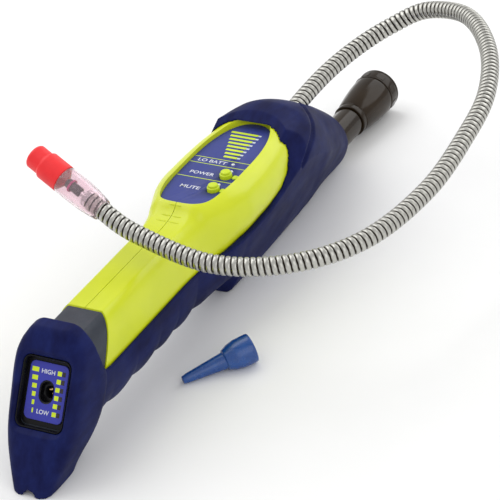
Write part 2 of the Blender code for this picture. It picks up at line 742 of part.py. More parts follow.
def sensor_head():
    """Clear sleeve over the hose end, with the sensor element inside and a red cap on the end."""
    sleeve = [
        (6.45, SLEEVE_LENGTH), (SLEEVE_R, SLEEVE_LENGTH), (SLEEVE_R, 18.0), (7.4, 12.0), (6.8, 6.0),
        (5.9, 0.6), (5.6, 0.0), (5.3, 0.0), (5.35, 1.0), (5.9, 6.5), (6.3, 12.0), (6.45, 18.0),
    ]
    turned("sensor_sleeve", sleeve, TIP_START, TIP_DIRECTION, CLEAR, loop=True)
    socket = [(0, 6.4), (1.6, 6.4), (1.6, 3.0), (4.6, 3.0), (4.6, 0), (0, 0)]
    turned("sensor_socket", socket, tip_point(8.3), TIP_DIRECTION, BRASS, steps=16)
    element = [(0, 9.0), (2.3, 9.0), (2.6, 8.4), (2.6, 0), (0, 0)]
    turned("sensor_element", element, tip_point(15.0), TIP_DIRECTION, GREY, steps=16)
    cap = [
        (1.5, CAP_LENGTH), (CAP_FRONT_R - 1.2, CAP_LENGTH), (CAP_FRONT_R, CAP_LENGTH - 1.2),
        (CAP_FRONT_R, CAP_STEP + 0.8), (SLEEVE_R, CAP_STEP), (SLEEVE_R, 0), (5.6, 0),
        (5.6, 12.0), (4.6, 13.0), (4.6, 19.4), (1.5, 19.4),
    ]
    turned("sensor_cap", cap, tip_point(SLEEVE_LENGTH + GAP), TIP_DIRECTION, RED, loop=True)
    turned("cap_filter", [(0, 1.6), (4.2, 1.6), (4.2, 0), (0, 0)],
           tip_point(SLEEVE_LENGTH + GAP + 17.4), TIP_DIRECTION, GREY, steps=16)


# ---------------------------------------------------------------- flashlight

def torch_part(name, profile, start, material, steps=20, loop=False):
    return turned(name, profile, (0, start, TORCH_Z), (0, 1, 0), material, steps=steps, loop=loop)


def flashlight():
    """Penlight in the pocket: barrel, tail cap, two cells, turning head, reflector, bulb and lens."""
    tail = TORCH_FRONT - TORCH_LENGTH
    barrel_start = tail + 12.0
    barrel = TORCH_HEAD_REAR - barrel_start + 14.0
    torch_part("flashlight_barrel", [
        (7.6, barrel), (8.1, barrel), (8.1, barrel - 14.6), (TORCH_BARREL_R, barrel - 14.6),
        (TORCH_BARREL_R, 0), (7.6, 0)], barrel_start, TORCH_BLACK, loop=True)
    torch_part("flashlight_tail_cap", [
        (0, 11.7), (TORCH_BARREL_R, 11.7), (TORCH_BARREL_R, 1.2), (7.8, 0), (0, 0)],
        tail, TORCH_BLACK)
    cell = [(0, 50.0), (2.5, 50.0), (2.5, 49.0), (7.1, 49.0), (7.1, 0), (0, 0)]
    torch_part("flashlight_cell_1", cell, barrel_start + 0.4, CELL_WRAP, steps=16)
    torch_part("flashlight_cell_2", cell, barrel_start + 50.8, CELL_WRAP, steps=16)
    head = TORCH_FRONT - 10.0 - TORCH_HEAD_REAR
    torch_part("flashlight_head", [
        (11.3, head), (TORCH_HEAD_R, head), (TORCH_HEAD_R, head - 6), (12.3, 22), (11.4, 14),
        (10.3, 6), (9.7, 0.6), (9.4, 0), (8.5, 0), (8.5, 15), (11.3, 21)],
        TORCH_HEAD_REAR, TORCH_BLACK, loop=True)
    face = TORCH_FRONT - 9.7
    torch_part("flashlight_face_cap", [
        (10.2, 9.7), (12.0, 9.7), (12.9, 8.6), (12.9, 0), (11.0, 0), (11.0, 6.0), (10.2, 7.0)],
        face, TORCH_BLACK, loop=True)
    torch_part("flashlight_lens", [(0, 1.4), (10.6, 1.4), (10.6, 0), (0, 0)], face + 4.2, GLASS)
    torch_part("flashlight_reflector", [
        (9.6, 15.0), (10.4, 15.0), (10.4, 14.0), (7.6, 6.0), (4.0, 1.0), (3.2, 0), (2.6, 0),
        (3.4, 2.0), (6.8, 7.0)], face - 11.2, MIRROR, loop=True)
    torch_part("flashlight_bulb", [(0, 7.0), (1.3, 6.2), (1.6, 5.0), (1.6, 0), (0, 0)],
               face - 11.0, GLASS, steps=12)


# ---------------------------------------------------------------- loose nozzle

def nozzle():
    """Tapered rubber tip with a bell mouth that slips over the sensor cap."""
    direction = (Vector(NOZZLE_MOUTH) - Vector(NOZZLE_TIP)).normalized()
    length = NOZZLE_LENGTH
    turned("probe_nozzle", [
        (6.6, length), (8.0, length), (8.0, length - 8.5), (6.9, length - 12.5),
        (5.3, length - 15.5), (4.6, length - 15.8), (2.6, 3.0), (2.0, 0), (0.9, 0),
        (1.0, 6.0), (2.6, length - 15.0), (4.0, length - 14.0), (6.6, length - 10.5)],
        NOZZLE_TIP, direction, NOZZLE_BLUE, loop=True)


# ---------------------------------------------------------------- assembly

housing_half(-1)
housing_half(1)
housing_screws()
end_cap()
level_label()
level_led_strip()
jack()
display_panel()
lamps()
push_button("power_button", POWER_STATION)
push_button("mute_button", MUTE_STATION)
switches()
electronics()
batteries()
protective_boot()
gooseneck()
sensor_head()
flashlight()
nozzle()
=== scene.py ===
"""Looks of the portable gas detector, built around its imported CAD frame.

Sizes are in millimetres in the frame's own axes: +Z up, +Y back along the body, -Y the nose.
"Station" is the distance forward of the boot's rear reference, as in the part's source.
"""

import math

import bmesh
import bpy
import numpy as np
from mathutils import Matrix, Vector


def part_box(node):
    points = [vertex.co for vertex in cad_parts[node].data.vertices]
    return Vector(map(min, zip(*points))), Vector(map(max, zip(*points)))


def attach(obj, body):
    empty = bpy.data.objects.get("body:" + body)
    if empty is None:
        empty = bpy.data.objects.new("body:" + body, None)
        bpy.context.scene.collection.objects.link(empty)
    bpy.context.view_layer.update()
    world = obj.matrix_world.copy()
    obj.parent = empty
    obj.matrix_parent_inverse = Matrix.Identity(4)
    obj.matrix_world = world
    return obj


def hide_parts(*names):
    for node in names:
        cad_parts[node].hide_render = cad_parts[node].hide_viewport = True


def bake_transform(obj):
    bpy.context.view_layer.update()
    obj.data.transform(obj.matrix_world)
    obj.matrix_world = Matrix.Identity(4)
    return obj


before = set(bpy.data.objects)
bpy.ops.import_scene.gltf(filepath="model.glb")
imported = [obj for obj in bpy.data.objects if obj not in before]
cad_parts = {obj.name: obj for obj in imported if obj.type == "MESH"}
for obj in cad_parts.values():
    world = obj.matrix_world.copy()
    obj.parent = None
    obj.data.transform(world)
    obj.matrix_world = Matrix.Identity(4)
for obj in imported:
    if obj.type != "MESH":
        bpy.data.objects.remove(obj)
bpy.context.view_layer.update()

MM = 0.001
BOOT_END_STATION = 8.6
REAR_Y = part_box("protective_boot")[1].y / MM + BOOT_END_STATION
GROUND_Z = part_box("protective_boot")[0].z / MM
PANEL_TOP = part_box("display_panel")[1].z / MM
HEAD_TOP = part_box("housing_left")[1].z / MM
BUTTON_X = sum(corner.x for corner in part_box("power_button")) / 2 / MM
POWER_STATION = REAR_Y - sum(corner.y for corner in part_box("power_button")) / 2 / MM
MUTE_STATION = REAR_Y - sum(corner.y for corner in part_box("mute_button")) / 2 / MM

HANDLE_HALF = 15.5
HANDLE_TOP = 65.5
HANDLE_POWER = 4.2
# the handle's top sharpens into a soft crease, from this station on and over this run
CREST_RISE = 0.089
CREST_STATION = 178.0
CREST_RUN = 14.0
HEAD_POWER = 3.5
LOWER_POWER = 2.5
NOSE_POWER = 4.4
SEAM_STATION = 271.0
SEAM_LEAN = math.radians(27)
LEVEL_LEAN = math.radians(32.3)
LEVEL_CENTRE = (314.4, 43.2)
LEVEL_HALF = (11.0, 14.5)
LEVEL_SEAT = -1.2
JACK_HALF = (4.2, 5.9)
SOCKET_HOLE_HALF = (4.6, 6.3)
# recess round the level display: height above the label, half width, half length, corner radius
RECESS_STEPS = [(-1.6, 14.0, 18.2, 4.5), (3.2, 14.0, 18.2, 4.5), (3.9, 15.0, 19.2, 5.3),
                (6.4, 17.6, 22.0, 7.5), (14.0, 17.6, 22.0, 7.5)]
RECESS_DROP = 0.8
PANEL_STATION = 131.0
PANEL_LENGTH_HALF = 45.0
PANEL_WIDTH_HALF = 18.0
PANEL_FRONT_POWER = 3.6
PANEL_REAR_POWER = 2.4
LAMP_NODES = ("low_battery_lamp", "power_lamp", "mute_lamp")
BUTTON_NODES = ("power_button", "mute_button")
TORCH_Z = 13.3
NECK_R = 5.0
NECK_BORE_R = 4.0
RIB_DEPTH = 0.72
NECK_PITCH = 3.2
RIB_STEPS = 8
NECK_ROUND = 28
SHARP_ANGLE = 35


# ---- materials

class Paint:
    """Small wrapper for building one procedural node material."""

    def __init__(self, name):
        self.material = bpy.data.materials.new(name)
        self.material.use_nodes = True
        self.tree = self.material.node_tree
        self.shader = self.tree.nodes["Principled BSDF"]
        self.coords = self.tree.nodes.new("ShaderNodeTexCoord")

    def node(self, kind, **values):
        """New node, with its inputs named by their words joined with underscores."""
        made = self.tree.nodes.new("ShaderNode" + kind)
        return self.fill(made, values)

    def fill(self, node, values):
        for key, value in values.items():
            node.inputs[key.replace("_", " ")].default_value = value
        return node

    def link(self, source, node, name):
        self.tree.links.new(source, node.inputs[name])

    def set(self, **values):
        self.fill(self.shader, values)

    def noise(self, scale, detail=4.0, roughness=0.55, stretch=(1, 1, 1)):
        mapping = self.node("Mapping", Scale=stretch)
        self.link(self.coords.outputs["Object"], mapping, "Vector")
        node = self.node("TexNoise", Scale=scale, Detail=detail, Roughness=roughness)
        self.link(mapping.outputs["Vector"], node, "Vector")
        return node.outputs["Fac"]

    def ramp(self, source, low, high, start=0.35, end=0.65):
        node = self.node("ValToRGB")
        for element, place, colour in zip(node.color_ramp.elements, (start, end), (low, high)):
            element.position = place
            element.color = colour
        self.link(source, node, "Fac")
        return node.outputs["Color"]

    def colour(self, source):
        self.link(source, self.shader, "Base Color")

    def rough(self, source, low, high):
        node = self.node("MapRange", From_Min=0.3, From_Max=0.7, To_Min=low, To_Max=high)
        self.link(source, node, "Value")
        self.link(node.outputs["Result"], self.shader, "Roughness")

    def bump(self, source, strength, distance):
        node = self.node("Bump", Strength=strength, Distance=distance)
        self.link(source, node, "Height")
        self.link(node.outputs["Normal"], self.shader, "Normal")


def two_tone(name, low, high, scale, rough, bump=0.15, grain=2600, metal=0.0, **extra):
    """Mottled colour with a fine grain in the surface and a roughness that varies."""
    paint = Paint(name)
    paint.set(Metallic=metal, **extra)
    paint.colour(paint.ramp(paint.noise(scale), (*low, 1), (*high, 1)))
    paint.rough(paint.noise(scale * 2.3), *rough)
    paint.bump(paint.noise(grain, 2.0), bump, 0.0001)
    return paint.material


def navy_rubber():
    """Dusty moulded rubber with faint streaks of wear along the body."""
    paint = Paint("navy_rubber")
    streak = paint.noise(70, 6.0, 0.62, (1.6, 0.45, 1.0))
    paint.colour(paint.ramp(streak, (0.0030, 0.0045, 0.045, 1), (0.0085, 0.0150, 0.098, 1),
                            0.36, 0.70))
    paint.rough(paint.noise(45, 5.0), 0.46, 0.62)
    paint.bump(paint.noise(1500, 3.0), 0.22, 0.00012)
    paint.set(Specular_IOR_Level=0.10)
    return paint.material


def hose_metal():
    """Nickel-plated strip: bright on the ribs, dark with painted shade in the grooves, from a
    vertex attribute.
    """
    paint = Paint("hose_metal")
    rib = paint.node("Attribute")
    rib.attribute_name = "rib_height"
    # the ramp's dark end is painted shade in the grooves, where the rib height is low
    metal_with_groove_shade = paint.ramp(rib.outputs["Fac"], (0.026, 0.020, 0.015, 1), (0.50, 0.495, 0.46, 1),
                      0.28, 0.80)
    paint.colour(metal_with_groove_shade)
    paint.rough(paint.noise(420, 5.0, 0.6), 0.27, 0.38)
    paint.bump(paint.noise(1900, 2.0, 0.5, (1, 1, 3)), 0.08, 0.0001)
    paint.set(Metallic=1.0)
    return paint.material


def clear_plastic():
    paint = Paint("clear_plastic")
    paint.colour(paint.ramp(paint.noise(60), (0.97, 0.80, 0.86, 1), (1.0, 0.88, 0.92, 1)))
    paint.rough(paint.noise(150), 0.03, 0.09)
    paint.bump(paint.noise(900), 0.04, 0.0001)
    paint.set(Transmission_Weight=0.92, IOR=1.42)
    return paint.material


LIME = two_tone("lime_plastic", (0.620, 0.700, 0.004), (0.665, 0.740, 0.007), 30,
                (0.30, 0.38), 0.10, 3000, Coat_Weight=0.12, Coat_Roughness=0.2)
NAVY = navy_rubber()
HOSE = hose_metal()
CLEAR = clear_plastic()
BUTTON_LIME = two_tone("button_rubber", (0.55, 0.70, 0.006), (0.62, 0.76, 0.010), 120,
                       (0.40, 0.52), 0.2, 2500)
SLATE = two_tone("slate_plastic", (0.014, 0.020, 0.034), (0.022, 0.030, 0.048), 90,
                 (0.42, 0.55), 0.35, 2400)
PANEL_BLUE = two_tone("panel_film", (0.032, 0.046, 0.235), (0.040, 0.056, 0.265), 50,
                      (0.40, 0.50), 0.12, 2800, Specular_IOR_Level=0.35)
LABEL_BLUE = two_tone("label_film", (0.026, 0.030, 0.330), (0.030, 0.036, 0.370), 60,
                      (0.34, 0.44), 0.12, 2800)
INK_LIME = two_tone("lime_ink", (0.60, 0.76, 0.01), (0.66, 0.80, 0.015), 200, (0.45, 0.5), 0.05)
INK_WHITE = two_tone("white_ink", (0.68, 0.70, 0.76), (0.74, 0.76, 0.82), 200, (0.5, 0.6), 0.05)
LAMP_PALE = two_tone("lamp_lens", (0.60, 0.66, 0.68), (0.70, 0.75, 0.76), 300, (0.15, 0.25),
                     0.05, Coat_Weight=0.5)
LAMP_DARK = two_tone("dark_window", (0.018, 0.012, 0.012), (0.030, 0.022, 0.020), 300,
                     (0.2, 0.3), 0.05)
BLACK = two_tone("black_plastic", (0.003, 0.003, 0.004), (0.006, 0.006, 0.008), 90, (0.24, 0.34),
                 0.1, Specular_IOR_Level=0.2)
BRASS = two_tone("brass", (0.72, 0.47, 0.22), (0.80, 0.55, 0.28), 200, (0.16, 0.3), 0.1,
                 metal=1.0)
STEEL = two_tone("steel", (0.60, 0.61, 0.62), (0.68, 0.69, 0.69), 150, (0.2, 0.32), 0.08,
                 metal=1.0)
RED = two_tone("red_vinyl", (0.83, 0.012, 0.018), (0.90, 0.020, 0.024), 110, (0.42, 0.54), 0.2,
               1800)
GREY = two_tone("sensor_grey", (0.050, 0.048, 0.052), (0.095, 0.09, 0.095), 400, (0.35, 0.5),
                0.2)
MAGENTA = two_tone("magenta_seal", (0.62, 0.02, 0.20), (0.75, 0.05, 0.28), 300, (0.3, 0.4), 0.1)
TORCH_BLACK = two_tone("anodised_black", (0.014, 0.008, 0.003), (0.024, 0.014, 0.006), 40,
                       (0.10, 0.17), 0.03, 2600, Specular_IOR_Level=0.22)
MIRROR = two_tone("mirror", (0.86, 0.86, 0.86), (0.9, 0.9, 0.9), 100, (0.03, 0.06), 0.01,
                  metal=1.0)
GLASS = two_tone("lens_glass", (0.95, 0.96, 0.97), (0.98, 0.98, 0.99), 100, (0.01, 0.03), 0.01,
                 Transmission_Weight=0.95)
NOZZLE_BLUE = two_tone("nozzle_blue", (0.004, 0.050, 0.235), (0.008, 0.072, 0.300), 130,
                       (0.20, 0.32), 0.1, 1500, Coat_Weight=0.3, Coat_Roughness=0.15)
BOARD = two_tone("board_green", (0.01, 0.16, 0.05), (0.02, 0.22, 0.07), 300, (0.35, 0.5), 0.1)
CELL_WRAP = two_tone("cell_wrap", (0.08, 0.08, 0.10), (0.12, 0.12, 0.14), 200, (0.3, 0.4), 0.05)


# ---- mesh helpers

def y_at(station):
    return REAR_Y - station


def node_box(node):
    """Low and high corners of a CAD node in metres, and its centre in millimetres."""
    low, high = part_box(node)
    return low, high, (low + high) / 2 / MM


def even_angles(count, shift=0.0):
    """Angles round a ring. A shift of a half keeps every point off the mid-plane."""
    return [2 * math.pi * (i + shift) / count for i in range(count)]


def link_object(name, data):
    item = bpy.data.objects.new(name, data)
    bpy.context.scene.collection.objects.link(item)
    return item


def add_object(name, bm, material=None):
    bmesh.ops.remove_doubles(bm, verts=bm.verts, dist=1e-6)
    bmesh.ops.recalc_face_normals(bm, faces=bm.faces)
    mesh = bpy.data.meshes.new(name)
    bm.to_mesh(mesh)
    bm.free()
    mesh.shade_smooth()
    mesh.set_sharp_from_angle(angle=math.radians(SHARP_ANGLE))
    item = link_object(name, mesh)
    if material:
        mesh.materials.append(material)
    return item


def bridge(bm, first, second):
    """Quads between two rings with the same number of vertices."""
    for i in range(len(first)):
        j = (i + 1) % len(first)
        bm.faces.new((first[i], first[j], second[j], second[i]))


def placed(place, outlines, drop=0.0):
    """Rings from (outline, level) pairs in a frame, moved down along it by the drop."""
    return [[place @ Vector((x, y - drop, level)) for x, y in outline]
            for outline, level in outlines]


def ring_loft(name, rings, material=None, closed=False, triangulate=False):
    bm = bmesh.new()
    grid = [[bm.verts.new(Vector(p) * MM) for p in ring] for ring in rings]
    pairs = list(zip(grid, grid[1:]))
    if closed:
        pairs.append((grid[-1], grid[0]))
    for first, second in pairs:
        bridge(bm, first, second)
    if not closed:
        bm.faces.new(list(reversed(grid[0])))
        bm.faces.new(grid[-1])
    if triangulate:
        bmesh.ops.triangulate(bm, faces=bm.faces)
    return add_object(name, bm, material)


def outline_plate(name, outline, low, high, material=None, place=None):
    place = place or Matrix.Identity(4)
    return ring_loft(name, placed(place, [(outline, low), (outline, high)]), material)


def turned(name, profile, start, direction, material, steps=64):
    """Turned body from a closed loop of (radius, distance along) points, corners kept crisp."""
    direction = Vector(direction).normalized()
    side = direction.orthogonal().normalized()
    up = direction.cross(side)
    bm = bmesh.new()
    rings = []
    for radius, along in profile:
        centre = Vector(start) + direction * along
        if radius <= 0:
            rings.append([bm.verts.new(centre * MM)])
            continue
        ring = []
        for angle in even_angles(steps):
            offset = side * math.cos(angle) + up * math.sin(angle)
            ring.append(bm.verts.new((centre + offset * radius) * MM))
        rings.append(ring)
    for first, second in zip(rings, rings[1:] + rings[:1]):
        if len(first) == 1 and len(second) == 1:
            continue
        for i in range(steps):
            j = (i + 1) % steps
            if len(first) == 1:
                bm.faces.new((first[0], second[j], second[i]))
            elif len(second) == 1:
                bm.faces.new((first[i], first[j], second[0]))
            else:
                bm.faces.new((first[i], first[j], second[j], second[i]))
    return add_object(name, bm, material)


def rod(name, radius, length, start, direction, steps):
    """Plain cylinder, used as a cutter."""
    profile = [(0, length), (radius, length), (radius, 0), (0, 0)]
    return turned(name, profile, start, direction, None, steps)


def soften(profile, reach=0.3, steps=3):
    """Rounds the corners of an open profile by a small reach on each side."""
    made = [profile[0]]
    for before, here, after in zip(profile, profile[1:], profile[2:]):
        a = Vector(here) - Vector(before)
        b = Vector(after) - Vector(here)
        cut = min(reach, a.length * 0.45, b.length * 0.45)
        if a.length < 1e-6 or b.length < 1e-6 or a.angle(b) < math.radians(12):
            made.append(here)
            continue
        start = Vector(here) - a.normalized() * cut
        end = Vector(here) + b.normalized() * cut
        for k in range(steps + 1):
            t = k / steps
            point = start * (1 - t) ** 2 + Vector(here) * 2 * t * (1 - t) + end * t ** 2
            made.append(tuple(point))
    made.append(profile[-1])
    return made


def apply_boolean(item, cutter, operation="DIFFERENCE"):
    step = item.modifiers.new("cut", "BOOLEAN")
    step.operation = operation
    step.solver = "EXACT"
    step.object = cutter
    bake(item)
    bpy.data.objects.remove(cutter, do_unlink=True)


def final_mesh(item):
    graph = bpy.context.evaluated_depsgraph_get()
    return bpy.data.meshes.new_from_object(item.evaluated_get(graph))


def bake(item):
    """Turns an object's modifiers into its mesh."""
    mesh = final_mesh(item)
    old = item.data
    item.modifiers.clear()
    item.data = mesh
    bpy.data.meshes.remove(old)


def bisect(item, point, normal):
    """Cuts away what lies on the side the normal points to, and closes the cut."""
    bm = bmesh.new()
    bm.from_mesh(item.data)
    geometry = list(bm.verts) + list(bm.edges) + list(bm.faces)
    bmesh.ops.bisect_plane(bm, geom=geometry, plane_co=Vector(point) * MM, plane_no=Vector(normal),
                           clear_outer=True)
    rim = [edge for edge in bm.edges if len(edge.link_faces) == 1]
    bmesh.ops.triangle_fill(bm, edges=rim, use_dissolve=True)
    bmesh.ops.recalc_face_normals(bm, faces=bm.faces)
    bm.to_mesh(item.data)
    bm.free()


def edge_bevel(item, width, segments=3, angle=SHARP_ANGLE):
    step = item.modifiers.new("rounded_edges", "BEVEL")
    step.width = width * MM
    step.segments = segments
    step.limit_method = "ANGLE"
    step.angle_limit = math.radians(angle)
    step.harden_normals = True


def ride(item, body, *nodes, slot=None):
    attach(item, body)
    if nodes:
        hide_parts(*nodes)
    return item


def superellipse(angle, power):
    c = math.cos(angle)
    s = math.sin(angle)
    x = math.copysign(abs(c) ** (2 / power), c)
    y = math.copysign(abs(s) ** (2 / power), s)
    return x, y


def monotone(xs, ys, at):
    """Smooth curve through points that never overshoots them."""
    xs = np.array(xs, float)
    ys = np.array(ys, float)
    step = np.diff(xs)
    slope = np.diff(ys) / step
    tangent = np.zeros(len(xs))
    tangent[0] = slope[0]
    tangent[-1] = slope[-1]
    for i in range(1, len(xs) - 1):
        if slope[i - 1] * slope[i] > 0:
            a = 2 * step[i] + step[i - 1]
            b = step[i] + 2 * step[i - 1]
            tangent[i] = (a + b) / (a / slope[i - 1] + b / slope[i])
    k = np.clip(np.searchsorted(xs, at) - 1, 0, len(xs) - 2)
    t = (at - xs[k]) / step[k]
    return ((1 + 2 * t) * (1 - t) ** 2 * ys[k] + t * (1 - t) ** 2 * step[k] * tangent[k]
            + t * t * (3 - 2 * t) * ys[k + 1] + t * t * (t - 1) * step[k] * tangent[k + 1])


def fine_sections(sections, spacing):
    """Sections at even stations, each column a smooth curve through the given ones."""
    stations = [section[0] for section in sections]
    count = max(2, round((stations[-1] - stations[0]) / spacing))
    at = np.linspace(stations[0], stations[-1], count + 1)
    columns = [monotone(stations, [s[k] for s in sections], at) for k in range(1, len(sections[0]))]
    return [(float(a), *[float(column[i]) for column in columns]) for i, a in enumerate(at)]


def section_at(sections, station, columns):
    """Some columns of the sections at one station, on the smooth curves through them."""
    stations = [section[0] for section in sections]
    return [float(monotone(stations, [s[k] for s in sections], np.array([station]))[0])
            for k in columns]


def smooth_route(points, samples):
    """Catmull-Rom curve through the points, without the last one."""
    padded = [2 * points[0] - points[1]] + points + [2 * points[-1] - points[-2]]
    curve = []
    for a, b, c, d in zip(padded, padded[1:], padded[2:], padded[3:]):
        for k in range(samples):
            t = k / samples
            curve.append(0.5 * ((2 * b) + (c - a) * t + (2 * a - 5 * b + 4 * c - d) * t ** 2
                                + (3 * b - a - 3 * c + d) * t ** 3))
    return curve


def tube_ring(centre, tangent, radius, count):
    """Ring of points across a route. The radius may be a function of the angle."""
    side = tangent.cross(Vector((0, 0, 1))).normalized()
    up = side.cross(tangent)
    ring = []
    for angle in even_angles(count):
        reach = radius(angle) if callable(radius) else radius
        ring.append(centre + side * reach * math.cos(angle) + up * reach * math.sin(angle))
    return ring


# ---- body sections

# station, half width, widest height, top, bottom, upper power, narrowing towards the bottom
HOUSING_SECTIONS = [
    (74.0, 13.0, 50.0, 60.0, 38.0, 2.6, 0.10),
    (80.0, 19.0, 50.0, 66.0, 32.0, 2.9, 0.20),
    (86.0, 21.7, 50.0, 70.2, 28.0, 3.2, 0.30),
    (92.0, 23.4, 50.0, 71.7, 27.0, HEAD_POWER, 0.36),
    (102.0, 25.5, 50.0, HEAD_TOP, 26.5, HEAD_POWER, 0.40),
    (116.0, 27.3, 50.0, HEAD_TOP, 26.5, HEAD_POWER, 0.40),
    (131.0, 28.0, 50.0, HEAD_TOP, 26.5, HEAD_POWER, 0.40),
    (146.0, 28.0, 50.0, HEAD_TOP, 26.0, HEAD_POWER, 0.40),
    (158.0, 25.7, 50.0, 71.9, 24.0, HEAD_POWER, 0.36),
    (167.0, 22.6, 49.0, 71.7, 21.0, HEAD_POWER, 0.27),
    (174.0, 19.8, 48.0, 71.5, 19.4, HEAD_POWER, 0.17),
    (177.2, 18.7, 47.0, 70.8, 18.6, 3.6, 0.13),
    (179.6, 18.0, 46.5, 68.6, 18.0, 3.8, 0.10),
    (182.5, 17.4, 46.0, 67.0, 17.3, 4.0, 0.06),
    (188.0, 16.5, 45.0, 65.9, 16.4, HANDLE_POWER, 0.03),
    (196.0, 15.9, 44.0, 65.3, 15.8, HANDLE_POWER, 0.0),
    (208.0, HANDLE_HALF, 43.0, HANDLE_TOP, 15.5, HANDLE_POWER, 0.0),
    (340.0, HANDLE_HALF, 43.0, HANDLE_TOP, 15.5, HANDLE_POWER, 0.0),
]

# station, half width, widest height, top, bottom, upper power, lower power, narrowing
BOOT_REAR = [
    (8.6, 10.9, 15.0, 24.5, 3.6, 2.2, 2.4, 0.08),
    (10.2, 12.4, 15.5, 28.5, 1.8, 2.3, 2.6, 0.22),
    (14.0, 13.9, 17.0, 34.5, -0.2, 2.3, 2.8, 0.34),
    (20.0, 15.6, 19.0, 40.4, -0.6, 2.3, 3.0, 0.46),
    (28.0, 17.9, 23.0, 47.0, -0.6, 2.3, 3.4, 0.56),
    (38.0, 20.7, 28.0, 54.8, -0.6, 2.3, 3.6, 0.60),
    (47.0, 23.2, 32.0, 61.0, -0.6, 2.3, 4.0, 0.61),
    (58.0, 26.1, 37.0, 68.0, -0.6, 2.3, 4.5, 0.61),
    (66.0, 27.7, 42.0, 72.0, -0.6, 2.3, 4.5, 0.61),
    (72.0, 28.6, 45.0, 74.0, -0.6, 2.3, 4.5, 0.60),
    (85.0, 29.8, 49.0, 75.5, -0.6, 2.4, 4.5, 0.60),
    (98.0, 30.4, 50.0, 76.0, -0.6, 2.8, 4.5, 0.59),
    (130.0, 30.6, 50.0, 76.0, -0.6, 3.2, 4.5, 0.58),
    (146.0, 30.4, 50.0, 76.0, -0.6, 3.2, 4.5, 0.58),
    (151.2, 29.7, 50.0, 76.0, -0.6, 3.2, 4.5, 0.58),
    (154.0, 29.1, 50.0, 76.0, 9.0, 3.2, 3.6, 0.42),
    (164.0, 26.0, 49.0, 75.0, 11.3, 3.2, 3.0, 0.22),
    (176.0, 21.4, 46.0, 75.0, 12.0, 3.4, 2.8, 0.08),
    (186.0, 18.8, 44.0, 70.0, 12.1, 3.6, 2.8, 0.02),
]
GRIP_NOTCHES = (193.0, 212.5, 231.5, 255.0, 279.0)
GRIP_HALF = 17.6
GRIP_NOTCH_Z = 12.2
GRIP_LOBE = 2.8

# height, half width, rear station, front station
NOSE_LEVELS = [
    (-0.6, 11.0, 314.0, 343.9),
    (3.0, 12.0, 311.5, 342.9),
    (8.0, 13.8, 306.5, 340.8),
    (14.0, 16.2, 298.5, 337.9),
    (22.0, 18.6, 291.5, 333.9),
    (30.0, 19.9, 287.0, 329.4),
    (40.0, 20.4, 284.0, 323.2),
    (50.0, 20.4, 286.0, 317.0),
    (58.0, 19.8, 288.0, 311.8),
    (63.5, 18.0, 289.4, 307.8),
    (68.0, 15.0, 290.6, 304.8),
    (70.8, 12.6, 291.8, 302.8),
    (72.4, 9.8, 293.2, 300.8),
]

# Side view of what the boot leaves open above the housing (station, height), where the wall is
# inside and where it is outside: the rim slants down outwards round the head
OPENING_FRONT = [(293.5, 90.0), (293.0, 56.0), (290.0, 46.5), (285.0, 41.0), (278.0, 40.3),
                 (192.0, 40.3)]
OPENING_INSIDE = OPENING_FRONT + [
    (168.0, 40.6), (149.0, 43.2), (130.0, 45.2), (121.0, 50.0), (113.0, 57.0), (104.0, 66.0),
    (94.0, 71.0), (80.0, 78.0), (78.0, 90.0),
]
OPENING_OUTSIDE = OPENING_FRONT + [
    (168.0, 39.5), (149.0, 41.0), (130.0, 42.0), (121.0, 43.5), (111.0, 46.0), (101.0, 49.5),
    (91.0, 53.0), (79.0, 58.0), (74.0, 90.0),
]
OPENING_STEPS = ((-60.0, OPENING_OUTSIDE), (-31.0, OPENING_OUTSIDE), (-21.0, OPENING_INSIDE),
                 (21.0, OPENING_INSIDE), (31.0, OPENING_OUTSIDE), (60.0, OPENING_OUTSIDE))


def housing_ring(section, offset, count):
    station, half, middle, top, bottom, power, taper = section
    crest = min(1.0, max(0.0, (station - CREST_STATION) / CREST_RUN))
    ring = []
    for angle in even_angles(count, 0.5):
        upper = math.sin(angle) >= 0
        x, z = superellipse(angle, power - crest if upper else LOWER_POWER)
        reach = (top - middle) * (1 + CREST_RISE * crest) if upper else (middle - bottom)
        narrow = 1 if upper else 1 + taper * z
        height = min(middle + (reach + offset) * z, top + offset)
        ring.append(((half + offset) * x * narrow, y_at(station), height))
    return ring


def housing_body(name, offset, spacing, count, material=None, ends=0.0):
    rings = [housing_ring(s, offset, count) for s in fine_sections(HOUSING_SECTIONS, spacing)]
    rings[0] = [(x, y + ends, z) for x, y, z in rings[0]]
    return ring_loft(name, rings, material, triangulate=True)


def leaning_place(station, height, lean):
    """Frame on a leaning face: X to the right, Y up along the face, Z out towards the nose."""
    up = Vector((0, math.sin(lean), math.cos(lean)))
    out = Vector((0, -math.cos(lean), math.sin(lean)))
    right = up.cross(out)
    rotation = Matrix((right, up, out)).transposed().to_4x4()
    return Matrix.Translation((0, y_at(station), height)) @ rotation


LEVEL_PLACE = leaning_place(*LEVEL_CENTRE, LEVEL_LEAN)
SEAM_PLACE = leaning_place(SEAM_STATION, HANDLE_TOP, SEAM_LEAN)


def plane_of(place, along):
    normal = place.to_3x3() @ Vector((0, 0, 1))
    return place.translation + normal * along, normal


def rounded_rectangle(half_x, half_y, corner, steps=10):
    points = []
    for turn, (sx, sy) in enumerate(((1, 1), (-1, 1), (-1, -1), (1, -1))):
        for k in range(steps + 1):
            angle = math.radians(90 * turn + 90 * k / steps)
            x = sx * (half_x - corner) + corner * math.cos(angle)
            y = sy * (half_y - corner) + corner * math.sin(angle)
            points.append((x, y))
    return points


def egg_outline(inset, count=120):
    """Outline of the display panel, blunter at its front end."""
    points = []
    for angle in even_angles(count, 0.5):
        power = PANEL_FRONT_POWER if math.sin(angle) < 0 else PANEL_REAR_POWER
        x, y = superellipse(angle, power)
        points.append(((PANEL_WIDTH_HALF - inset) * x,
                       y_at(PANEL_STATION) + (PANEL_LENGTH_HALF - inset) * y))
    return points


# ---- housing

